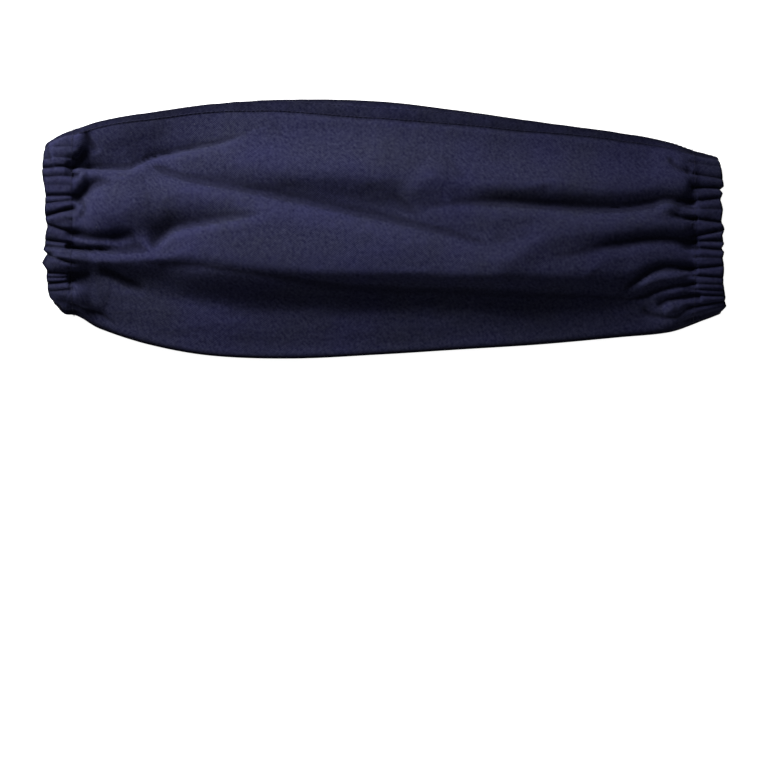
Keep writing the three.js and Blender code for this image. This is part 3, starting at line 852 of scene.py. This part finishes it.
# Shares of rib, slub and grain in the twill's shade mask: the rib's share is painted shade between the
# ribs and painted light on them, the slub's and grain's are the yarn's own tone
RIB_SHADE = 0.35
SLUB_SHADE = 0.3
GRAIN_SHADE = 0.4
# Lint: radius of a speck from full to none, in parts of its cell, and share of cells that hold one
LINT_SIZE = (0.025, 0.05)
LINT_SHARE = 0.07


def twill_group():
    """Diagonal twill: yarn ribs broken into floats, as a height and a shade mask of yarn tone with
    painted shade between the ribs.
    """
    group, start, end = new_group(
        "Twill Weave",
        [("Cloth", "NodeSocketVector", None), ("Rib", "NodeSocketFloat", 0.0009)],
        [("Height", "NodeSocketFloat"), ("Shade", "NodeSocketFloat")],
    )
    maker = NodeMaker(group)
    cloth = start.outputs["Cloth"]
    wander = maker.noise(cloth, WANDER_SCALE, 2.0)
    shift = {0: wander.outputs["Color"], 1: YARN_WANDER}
    moved = maker.add("ShaderNodeVectorMath", shift, operation="MULTIPLY")
    strayed = maker.add("ShaderNodeVectorMath", {0: cloth, 1: moved.outputs[0]}, operation="ADD")
    axes = maker.add("ShaderNodeSeparateXYZ", {0: strayed.outputs[0]})
    run, rise = RIB_SLANT
    across = maker.math("SUBTRACT", maker.times(axes.outputs[0], rise), maker.times(axes.outputs[1], run))
    along = maker.plus(maker.times(axes.outputs[0], run), maker.times(axes.outputs[1], rise))
    ribs = maker.math("DIVIDE", across, start.outputs["Rib"])
    rib = maker.math("MULTIPLY_ADD", maker.wave(ribs), 0.5, 0.5)
    floats = maker.math("DIVIDE", along, maker.times(start.outputs["Rib"], FLOAT_LENGTH))
    yarn = maker.math("MULTIPLY_ADD", maker.wave(floats), FLOAT_DEPTH, 1 - FLOAT_DEPTH)
    height = maker.times(maker.math("POWER", rib, RIB_ROUNDNESS), yarn)
    drawn = maker.add("ShaderNodeCombineXYZ", {0: across, 1: maker.times(along, SLUB_STRETCH)})
    slub = maker.noise(drawn.outputs[0], SLUB_SCALE, 3.0)
    thick = maker.ramp(slub.outputs["Fac"], *NOISE_SPREAD)
    grain = maker.ramp(maker.noise(cloth, GRAIN_SCALE, 2.0).outputs["Fac"], *NOISE_SPREAD)
    shade = maker.plus(maker.times(height, RIB_SHADE), maker.times(thick, SLUB_SHADE))
    maker.link(maker.plus(height, maker.times(thick, SLUB_HEIGHT)), end.inputs["Height"])
    maker.link(maker.plus(shade, maker.times(grain, GRAIN_SHADE)), end.inputs["Shade"])
    return group


def wear_and_light_group():
    """Crests paled by abrasion and a painted highlight, painted shade in the folds, mottling and lint, as
    masks.
    """
    masks = ("Rubbed", "Sunk", "Mottle", "Lint")
    group, start, end = new_group(
        "Cloth Wear",
        [("Place", "NodeSocketVector", None), ("Crest", "NodeSocketFloat", 0.0),
         ("Rubbing", "NodeSocketFloat", 1.0)],
        [(mask, "NodeSocketFloat") for mask in masks],
    )
    maker = NodeMaker(group)
    place = start.outputs["Place"]
    crest = start.outputs["Crest"]
    # Crests paled by abrasion and a painted highlight, broken up by noise
    broken = maker.ramp(maker.noise(place, RUB_AND_LIGHT_SCALE, 4.0).outputs["Fac"], *NOISE_SPREAD)
    rubbed_and_lit = maker.times(maker.times(maker.ramp(crest, 0.05, 0.9), broken), start.outputs["Rubbing"])
    # Painted shade down in the folds
    fold_shade = maker.ramp(maker.times(crest, -1.0), 0.1, 1.0)
    mottle = maker.ramp(maker.noise(place, MOTTLE_SCALE, 5.0).outputs["Fac"], *MOTTLE_SPREAD)
    speck = maker.add("ShaderNodeTexVoronoi", {"Vector": place, "Scale": LINT_SCALE, "Randomness": 1.0})
    dot = maker.math("SUBTRACT", 1.0, maker.ramp(speck.outputs["Distance"], *LINT_SIZE))
    chosen = maker.add("ShaderNodeSeparateColor", {0: speck.outputs["Color"]})
    lint = maker.times(dot, maker.math("GREATER_THAN", chosen.outputs[0], 1 - LINT_SHARE))
    for mask, value in zip(masks, (rubbed_and_lit, fold_shade, mottle, lint)):
        maker.link(value, end.inputs[mask])
    return group


def shared_group(name, build):
    """The shader group of this name, built at its first use."""
    return bpy.data.node_groups.get(name) or build()


# Shares of the dye's red, green and blue where the twill's shade mask is low and where it is high: the
# yarn's own tone, with painted shade between the ribs and painted light on their tops
DEEP_YARN_AND_SHADE = (0.1, 0.1, 0.42)
PALE_YARN_AND_LIGHT = (2.35, 2.35, 1.75)
# Share of each mask in the cloth's colour: abrasion and lint, a painted highlight on the crests, painted
# shade in the folds and along the edges
MOTTLE_SHARE = 0.6
RUBBED_AND_LIT_SHARE = 0.4
FOLD_SHADE_SHARE = 0.55
EDGE_SHADE_SHARE = 0.95
SPECK_SHARE = 0.2
LINT_COLOUR = (0.15, 0.15, 0.18)
SHEEN_COLOUR = (0.55, 0.6, 0.85, 1.0)
FUZZ_HEIGHT = 0.35

# Elastic: rib to rib and pick to pick in metres, height of a pick, and shade between the ribs
ELASTIC_RIB = 0.0016
ELASTIC_PICK = 0.0011
PICK_HEIGHT = 0.35
DEEP_SHADE = 0.6


def new_material(name):
    """Empty node material, and the maker of its nodes."""
    material = bpy.data.materials.new(name)
    material.use_nodes = True
    material.node_tree.nodes.clear()
    return material, NodeMaker(material.node_tree)


def finish_surface(maker, colour, roughness, height, strength, distance):
    """Principled surface with a bump, joined to the output."""
    bump = maker.add("ShaderNodeBump", {"Height": height, "Strength": strength, "Distance": distance})
    shader = maker.add("ShaderNodeBsdfPrincipled", {"Base Color": colour, "Roughness": roughness})
    maker.link(bump.outputs["Normal"], shader.inputs["Normal"])
    output = maker.add("ShaderNodeOutputMaterial")
    maker.link(shader.outputs["BSDF"], output.inputs["Surface"])
    return shader


def tinted(colour, *shares):
    """A colour darkened or paled by each share, with full alpha."""
    for share in shares:
        colour = tuple(channel * part for channel, part in zip(colour, share))
    return (*colour, 1.0)


def cloth_material(name, finish, painted_shade=1.0, rub_and_light=1.0):
    """Navy cotton twill."""
    material, maker = new_material(name)
    place = maker.add("ShaderNodeTexCoord").outputs["Object"]
    uv = maker.add("ShaderNodeUVMap", uv_map="cloth")
    crest = maker.add("ShaderNodeAttribute", attribute_name="crest")
    rim = maker.add("ShaderNodeAttribute", attribute_name="rim")
    twill = maker.add(
        "ShaderNodeGroup",
        {"Cloth": uv.outputs["UV"], "Rib": finish.rib},
        node_tree=shared_group("Twill Weave", twill_group),
    ).outputs
    wear_and_light = maker.add(
        "ShaderNodeGroup",
        {"Place": place, "Crest": crest.outputs["Fac"], "Rubbing": rub_and_light},
        node_tree=shared_group("Cloth Wear", wear_and_light_group),
    ).outputs
    # A share below 1 draws a dimmed copy of the twill: painted shade
    dark = (painted_shade,) * 3
    yarns = [
        maker.mix(twill["Shade"], tinted(dye, DEEP_YARN_AND_SHADE, dark), tinted(dye, PALE_YARN_AND_LIGHT, dark))
        for dye in (finish.navy, finish.faded)
    ]
    colour = maker.mix(maker.times(wear_and_light["Mottle"], MOTTLE_SHARE), *yarns)
    for mask, share, tint in (
        # abrasion and a painted highlight on the crests
        (wear_and_light["Rubbed"], RUBBED_AND_LIT_SHARE, finish.rubbed_and_lit),
        # painted shade down in the folds
        (wear_and_light["Sunk"], FOLD_SHADE_SHARE, finish.fold_shade),
        # painted shade along the pressed edges
        (rim.outputs["Fac"], EDGE_SHADE_SHARE, finish.edge),
        (wear_and_light["Lint"], SPECK_SHARE, LINT_COLOUR),
    ):
        colour = maker.mix(maker.times(mask, share), colour, (*tint, 1.0))
    fuzz = maker.noise(place, FUZZ_SCALE, 2.0)
    height = maker.plus(twill["Height"], maker.times(fuzz.outputs["Fac"], FUZZ_HEIGHT))
    rough = maker.math("SUBTRACT", 0.96, maker.times(wear_and_light["Rubbed"], 0.1))
    shader = finish_surface(maker, colour, rough, height, 0.8, 0.00025)
    shader.inputs["Specular IOR Level"].default_value = 0.01
    shader.inputs["Sheen Weight"].default_value = 0.008
    shader.inputs["Sheen Roughness"].default_value = 0.55
    shader.inputs["Sheen Tint"].default_value = SHEEN_COLOUR
    return material


def thread_material(finish):
    """Twisted sewing thread."""
    material, maker = new_material("navy_thread")
    place = maker.add("ShaderNodeTexCoord").outputs["Object"]
    twist = maker.add(
        "ShaderNodeTexWave",
        {"Vector": place, "Scale": 900.0, "Distortion": 1.5},
        bands_direction="DIAGONAL",
    ).outputs["Fac"]
    # The twist's grooves are drawn dim: painted shade
    colour = maker.mix(twist, tinted(finish.navy, (DEEP_SHADE,) * 3), tinted(finish.navy))
    shader = finish_surface(maker, colour, 0.8, twist, 0.5, 0.0001)
    shader.inputs["Specular IOR Level"].default_value = 0.15
    return material


def elastic_material(finish):
    """Ribbed woven elastic."""
    material, maker = new_material("woven_elastic")
    uv = maker.add("ShaderNodeUVMap", uv_map="cloth")
    axes = maker.add("ShaderNodeSeparateXYZ", {0: uv.outputs["UV"]})
    rib = maker.wave(maker.times(axes.outputs[0], 1 / ELASTIC_RIB))
    pick = maker.wave(maker.times(axes.outputs[1], 1 / ELASTIC_PICK))
    height = maker.plus(rib, maker.times(pick, PICK_HEIGHT))
    colour = maker.mix(
        maker.ramp(height, -1.3, 1.3), tinted(finish.band, (DEEP_SHADE,) * 3), tinted(finish.band)
    )
    finish_surface(maker, colour, 0.8, height, 0.5, 0.0002)
    return material


# Divisions of the cloth along the sleeve, over its crown and underneath
BODY_STATIONS = 284
BODY_CROWDING = 0.25
CROWN_STEPS = 122
UNDER_STEPS = 42
HEM_CROWN_STEPS = 230
HEM_UNDER_STEPS = 110
# Divisions round a hem's profile: its face, end fold, inner side, pocket, roof and elastic
FACE_STEPS = 22
FOLD_STEPS = 9
BORE_STEPS = 10
POCKET_STEPS = 8
ROOF_STEPS = 10
ELASTIC_STEPS = 8
# Hem: gap between its layers, thickness of the elastic, taper before the stitch row and lap past
# it, and room at the elastic's edges, in millimetres
LAYER_GAP = 0.12
ELASTIC_THICK = 1.1
HEM_TAPER = 3.2
HEM_LAP = 4
ELASTIC_ROOM = 0.3
# Cut lengths round the sleeve, in metres
HEM_GIRTH = 0.29
ELASTIC_GIRTH = 0.25
# Felled seam: divisions along and across it, how square its outer side and how flat its top are,
# and in millimetres how far it floats on the cloth and ends before the hems
SEAM_STATIONS = 420
SEAM_STEPS = 9
SEAM_SQUARE = 8
SEAM_FLAT = 2.4
SEAM_FLOAT = 0.03
SEAM_SHORT = 0.2
# Stitches: points to a row, and in millimetres the place of the hems' row in the body, where the
# seam's rows start, their distance from the band's outer and inner edge, and how proud they lie
ROW_POINTS = 900
HEM_ROW_SHIFT = 1.4
SEAM_ROW_START = 1
SEAM_ROW_INSETS = (0.6, 0.9)
STITCH_PROUD = 0.05
# How far a stitch's ends sink and its middle arches, in diameters of the thread
STITCH_SINK = 0.55
STITCH_ARCH = 0.9


class SLEEVE_OT_body(bpy.types.Operator):
    """Make the tube of twill, with its folds"""

    bl_idname = "sleeve.body"
    bl_label = "Sleeve Body"

    def execute(self, context):
        form = SleeveForm(context.scene)
        end = form.length / 2 - form.hem
        stations = (crowded(BODY_STATIONS, BODY_CROWDING) * 2 - 1) * end
        stations = np.append(stations, end)
        there = list(stations) + list(stations[::-1])
        depths = [0.0] * len(stations) + [form.cloth] * len(stations)
        turns = cloth_turns(CROWN_STEPS, UNDER_STEPS)
        body = swept_piece("twill_body", form, there, depths, turns)
        settle(body, "twill", cloth_material("navy_twill", context.scene.sleeve_finish), "sleeve_body")
        return {"FINISHED"}


def hem_profile(form):
    """Distances from the end fold and depths round a folded hem, and those of its elastic."""
    cloth = form.cloth
    floor = cloth + 2 * LAYER_GAP + ELASTIC_THICK
    inner = floor + cloth
    bend = inner / 2
    row = form.hem
    taper = row - HEM_TAPER
    lap = row + HEM_LAP
    face = [(reach, 0.0) for reach in np.linspace(row, bend, FACE_STEPS)]
    fold = [
        (bend - bend * math.sin(angle), bend - bend * math.cos(angle))
        for angle in np.linspace(0, math.pi, FOLD_STEPS)[1:-1]
    ]
    bore = [(reach, inner) for reach in np.linspace(bend, taper, BORE_STEPS)]
    under = cloth + LAYER_GAP
    tongue = [(row, under + cloth), (lap, under + cloth), (lap, under), (row, under)]
    pocket = [(reach, floor) for reach in np.linspace(taper, cloth, POCKET_STEPS)]
    roof = [(reach, cloth) for reach in np.linspace(cloth, row, ROOF_STEPS)]
    reaches = np.linspace(taper - ELASTIC_ROOM, cloth + ELASTIC_ROOM, ELASTIC_STEPS)
    band = [(reach, under) for reach in reaches] + [(reach, floor - LAYER_GAP) for reach in reaches[::-1]]
    return face + fold + bore + tongue + pocket + roof, band


class SLEEVE_OT_hems(bpy.types.Operator):
    """Make both folded hems and the elastic in them"""

    bl_idname = "sleeve.hems"
    bl_label = "Hems and Elastic"

    def execute(self, context):
        form = SleeveForm(context.scene)
        finish = context.scene.sleeve_finish
        # The hem's twill is a dimmed copy of the body's as painted shade, with stronger abrasion and
        # painted crest highlight
        cloth = cloth_material("navy_twill_hem", finish, painted_shade=0.88, rub_and_light=1.3)
        woven = elastic_material(finish)
        turns = cloth_turns(HEM_CROWN_STEPS, HEM_UNDER_STEPS)
        profile, band = hem_profile(form)
        hem_flat = (HEM_GIRTH, 2 * form.hem * MM)
        band_flat = (ELASTIC_GIRTH, (band[0][0] - band[len(band) // 2][0]) * MM)
        for side, label in ((-1, "upper_arm"), (1, "wrist")):
            for part, corners, slot, material, node, flat in (
                ("_hem", profile, "twill_hem", cloth, "_casing", hem_flat),
                ("_band", band, "elastic", woven, "_elastic", band_flat),
            ):
                stations = [side * (form.length / 2 - reach) for reach, _ in corners]
                depths = [depth for _, depth in corners]
                piece = swept_piece(label + part, form, stations, depths, turns)
                settle(piece, slot, material, label + node)
        return {"FINISHED"}


class SLEEVE_OT_seam(bpy.types.Operator):
    """Lay the felled seam's band along the far edge"""

    bl_idname = "sleeve.seam"
    bl_label = "Felled Seam"

    def execute(self, context):
        form = SleeveForm(context.scene)
        seam = context.scene.sleeve_seam
        proud = seam.thickness / MM
        end = form.length / 2 - form.hem - SEAM_SHORT
        stations = np.linspace(-end, end, SEAM_STATIONS)
        half, _, _ = form.section(stations)
        shares = np.linspace(0, 1, SEAM_STEPS)
        top = -proud * np.minimum(1, SEAM_SQUARE * shares) * (1 - shares**SEAM_FLAT) - SEAM_FLOAT
        shares = np.append(shares, shares[::-1][1:-1])
        depths = np.append(top, np.full(SEAM_STEPS - 2, -SEAM_FLOAT))
        outer, inner, _ = form.seam_reach(stations)
        reach = outer[:, None] + (inner - outer)[:, None] * shares
        turns = reach / (2 * half[:, None])
        x = np.repeat(stations[:, None], len(shares), axis=1)
        rings, reliefs = form.point(x, turns, depths[None, :])
        along = stations - stations[0]
        band = ring_mesh("felled_seam_band", rings, reliefs, form.rim(x, turns), along, closed=False)
        close_ends(band, len(shares))
        face_outwards(band)
        # The seam band's twill is a dimmed copy of the body's: painted shade
        cloth = cloth_material("navy_twill_seam", context.scene.sleeve_finish, painted_shade=0.78, rub_and_light=1.0)
        settle(band, "twill_seam", cloth, "felled_seam")
        return {"FINISHED"}


def close_ends(piece, around):
    """Caps the first and last ring of a strip."""
    mesh = piece.data
    work = bmesh.new()
    work.from_mesh(mesh)
    work.verts.ensure_lookup_table()
    total = len(work.verts)
    work.faces.new([work.verts[i] for i in range(around)])
    work.faces.new([work.verts[total - around + i] for i in reversed(range(around))])
    bmesh.ops.recalc_face_normals(work, faces=work.faces)
    work.to_mesh(mesh)
    work.free()


def stitch_tree(seam, thread):
    """Geometry nodes that lay stitches along a line with an up direction at each point."""
    tree = bpy.data.node_groups.new("Stitch Row", "GeometryNodeTree")
    tree.interface.new_socket("Geometry", in_out="INPUT", socket_type="NodeSocketGeometry")
    sizes = (("Pitch", seam.pitch), ("Length", seam.stitch), ("Thread", seam.thread))
    for label, value in sizes:
        socket = tree.interface.new_socket(label, in_out="INPUT", socket_type="NodeSocketFloat")
        socket.default_value = value
    tree.interface.new_socket("Geometry", in_out="OUTPUT", socket_type="NodeSocketGeometry")
    start = tree.nodes.new("NodeGroupInput")
    end = tree.nodes.new("NodeGroupOutput")
    maker = NodeMaker(tree)
    line = maker.add("GeometryNodeMeshToCurve", {"Mesh": start.outputs["Geometry"]})
    spaced = maker.add(
        "GeometryNodeResampleCurve",
        {"Curve": line.outputs[0], "Length": start.outputs["Pitch"]},
        mode="LENGTH",
    )
    half = maker.times(start.outputs["Length"], 0.5)
    back = maker.times(half, -1.0)
    sink = maker.times(start.outputs["Thread"], -STITCH_SINK)
    crown = maker.times(start.outputs["Thread"], STITCH_ARCH)
    first = maker.add("ShaderNodeCombineXYZ", {0: back, 2: sink})
    middle = maker.add("ShaderNodeCombineXYZ", {2: crown})
    last = maker.add("ShaderNodeCombineXYZ", {0: half, 2: sink})
    arc = maker.add(
        "GeometryNodeCurveQuadraticBezier",
        {"Resolution": 4, "Start": first.outputs[0], "Middle": middle.outputs[0], "End": last.outputs[0]},
    )
    radius = maker.times(start.outputs["Thread"], 0.5)
    ring = maker.add("GeometryNodeCurvePrimitiveCircle", {"Resolution": 6, "Radius": radius})
    stitch = maker.add(
        "GeometryNodeCurveToMesh",
        {"Curve": arc.outputs[0], "Profile Curve": ring.outputs[0], "Fill Caps": True},
    )
    tangent = maker.add("GeometryNodeInputTangent")
    along = maker.add("FunctionNodeAlignRotationToVector", {"Vector": tangent.outputs[0]}, axis="X")
    up = maker.add("GeometryNodeInputNamedAttribute", {"Name": "up"}, data_type="FLOAT_VECTOR")
    upright = maker.add(
        "FunctionNodeAlignRotationToVector",
        {"Rotation": along.outputs[0], "Vector": up.outputs[0]},
        axis="Z",
        pivot_axis="X",
    )
    laid = maker.add(
        "GeometryNodeInstanceOnPoints",
        {"Points": spaced.outputs[0], "Instance": stitch.outputs[0], "Rotation": upright.outputs[0]},
    )
    solid = maker.add("GeometryNodeRealizeInstances", {0: laid.outputs[0]})
    dressed = maker.add("GeometryNodeSetMaterial", {"Geometry": solid.outputs[0], "Material": thread})
    maker.link(dressed.outputs[0], end.inputs[0])
    return tree


def stitch_line(name, lines):
    """Mesh of open lines, each a list of places and of up directions."""
    places = np.concatenate([line for line, _ in lines])
    ups = np.concatenate([up for _, up in lines])
    edges = []
    first = 0
    for line, _ in lines:
        edges += [(first + i, first + i + 1) for i in range(len(line) - 1)]
        first += len(line)
    mesh = bpy.data.meshes.new(name)
    mesh.from_pydata((places * MM).tolist(), edges, [])
    up = mesh.attributes.new("up", "FLOAT_VECTOR", "POINT")
    up.data.foreach_set("vector", ups.astype(np.float32).ravel())
    return new_object(name, mesh)


def cloth_line(form, x, turn, depth):
    """Places along a line on the cloth, and the cloth's outward direction there."""
    place, _ = form.point(x, turn, depth)
    out_y, out_z = form.outward(x, turn)
    return place, np.stack([np.zeros(len(x)), out_y, out_z], axis=-1)


class SLEEVE_OT_stitches(bpy.types.Operator):
    """Sew the stitch rows of the hems and of the seam"""

    bl_idname = "sleeve.stitches"
    bl_label = "Stitches"

    def execute(self, context):
        form = SleeveForm(context.scene)
        seam = context.scene.sleeve_seam
        thread = thread_material(context.scene.sleeve_finish)
        tree = stitch_tree(seam, thread)
        rows = {"hem_stitches": [], "seam_stitches": []}
        row_place = form.length / 2 - form.hem
        around = np.linspace(0.0, 2.0, ROW_POINTS)
        for side in (-1, 1):
            row = np.full(len(around), side * (row_place + HEM_ROW_SHIFT))
            rows["hem_stitches"].append(cloth_line(form, row, around, -STITCH_PROUD))
        along = np.linspace(-1, 1, ROW_POINTS) * (row_place - SEAM_ROW_START)
        half, _, _ = form.section(along)
        proud = seam.thickness / MM + STITCH_PROUD
        outer, inner, _ = form.seam_reach(along)
        for reach in (outer + SEAM_ROW_INSETS[0], inner - SEAM_ROW_INSETS[1]):
            rows["seam_stitches"].append(cloth_line(form, along, reach / (2 * half), -proud))
        for name, lines in rows.items():
            guide = stitch_line(name + "_line", lines)
            modifier = guide.modifiers.new("Stitch Row", "NODES")
            modifier.node_group = tree
            for item in tree.interface.items_tree:
                if item.in_out == "INPUT" and item.socket_type == "NodeSocketFloat":
                    modifier[item.identifier] = item.default_value
            depsgraph = context.evaluated_depsgraph_get()
            mesh = bpy.data.meshes.new_from_object(guide.evaluated_get(depsgraph))
            stitches = new_object(name, mesh)
            bpy.data.objects.remove(guide)
            settle(stitches, "twill_seam" if name == "seam_stitches" else "twill_hem", thread)
        return {"FINISHED"}


# Studio in metres: side of the floor and how far it lies below the cloth; place of the key light,
# the spot it points at, its side and its spread in degrees; width of the camera's sensor in
# millimetres and how far it sees
FLOOR_SIDE = 6.0
FLOOR_DROP = 0.0002
KEY_PLACE = (-0.62, 0.66, 0.5)
KEY_TARGET = (-0.08, 0.01, 0.02)
KEY_SIDE = 0.36
KEY_SPREAD = 49
SENSOR_WIDTH = 36.0
CLIP_END = 50.0
WHITE = (1.0, 1.0, 1.0, 1.0)


def studio_floor(studio):
    """Wide floor that shines like a light table."""
    half = FLOOR_SIDE / 2
    mesh = bpy.data.meshes.new("studio_floor")
    corners = [(x * half, y * half, -FLOOR_DROP) for x, y in ((-1, -1), (1, -1), (1, 1), (-1, 1))]
    mesh.from_pydata(corners, [], [(0, 1, 2, 3)])
    material = bpy.data.materials.new("studio_floor")
    material.use_nodes = True
    shader = material.node_tree.nodes["Principled BSDF"]
    shader.inputs["Base Color"].default_value = (*studio.floor, 1.0)
    shader.inputs["Roughness"].default_value = 0.9
    shader.inputs["Emission Color"].default_value = WHITE
    shader.inputs["Emission Strength"].default_value = studio.glow
    mesh.materials.append(material)
    return new_object("studio_floor", mesh)


def key_light(studio):
    """Narrow area light over the far edge by the upper-arm end."""
    data = bpy.data.lights.new("key_light", "AREA")
    data.shape = "SQUARE"
    data.size = KEY_SIDE
    data.energy = studio.key
    data.spread = math.radians(KEY_SPREAD)
    lamp = new_object("key_light", data)
    lamp.location = KEY_PLACE
    lamp.rotation_euler = (Vector(KEY_TARGET) - lamp.location).to_track_quat("-Z", "Y").to_euler()
    return lamp


class SLEEVE_OT_stage(bpy.types.Operator):
    """Set the floor, the lights and the camera"""

    bl_idname = "sleeve.stage"
    bl_label = "Studio"

    def execute(self, context):
        scene = context.scene
        studio = scene.sleeve_studio
        studio_floor(studio)
        scene.world = bpy.data.worlds.new("studio_sky")
        scene.world.use_nodes = True
        sky = scene.world.node_tree.nodes["Background"]
        sky.inputs["Color"].default_value = WHITE
        sky.inputs["Strength"].default_value = studio.sky
        key_light(studio)
        scene.view_settings.view_transform = "Standard"
        data = bpy.data.cameras.new("photo_camera")
        data.sensor_width = SENSOR_WIDTH
        data.lens = SENSOR_WIDTH * studio.distance / (PHOTO_SIDE * PHOTO_MM * MM)
        data.clip_end = CLIP_END
        centre = to_mm(PHOTO_SIDE / 2, PHOTO_SIDE / 2)
        edge_height = EDGE_RISE * scene.sleeve_sizes.height
        camera = new_object("photo_camera", data)
        camera.location = (centre[0] * MM, centre[1] * MM, edge_height + studio.distance)
        scene.camera = camera
        return {"FINISHED"}


class SLEEVE_PT_panel(bpy.types.Panel):
    """Sleeve tools in the sidebar"""

    bl_label = "Welding Sleeve"
    bl_idname = "SLEEVE_PT_panel"
    bl_space_type = "VIEW_3D"
    bl_region_type = "UI"
    bl_category = "Sleeve"

    def draw(self, context):
        layout = self.layout
        for operator in OPERATORS:
            layout.operator(operator.bl_idname)
        for group in SETTINGS:
            box = layout.box()
            for name in getattr(context.scene, group).bl_rna.properties.keys():
                if name not in ("rna_type", "name"):
                    box.prop(getattr(context.scene, group), name)


OPERATORS = (SLEEVE_OT_stage, SLEEVE_OT_body, SLEEVE_OT_hems, SLEEVE_OT_seam, SLEEVE_OT_stitches)
SETTINGS = {
    "sleeve_sizes": SleeveSizes,
    "sleeve_gathers": GatherSizes,
    "sleeve_seam": SeamSizes,
    "sleeve_finish": ClothFinish,
    "sleeve_studio": StudioSettings,
}


def register():
    for name, group in SETTINGS.items():
        bpy.utils.register_class(group)
        setattr(bpy.types.Scene, name, PointerProperty(type=group))
    for operator in OPERATORS:
        bpy.utils.register_class(operator)
    bpy.utils.register_class(SLEEVE_PT_panel)


def unregister():
    bpy.utils.unregister_class(SLEEVE_PT_panel)
    for operator in reversed(OPERATORS):
        bpy.utils.unregister_class(operator)
    for name, group in reversed(SETTINGS.items()):
        delattr(bpy.types.Scene, name)
        bpy.utils.unregister_class(group)


def main():
    """Builds the whole scene."""
    register()
    bpy.ops.sleeve.stage()
    bpy.ops.sleeve.body()
    bpy.ops.sleeve.hems()
    bpy.ops.sleeve.seam()
    bpy.ops.sleeve.stitches()


if __name__ == "__main__":
    main()
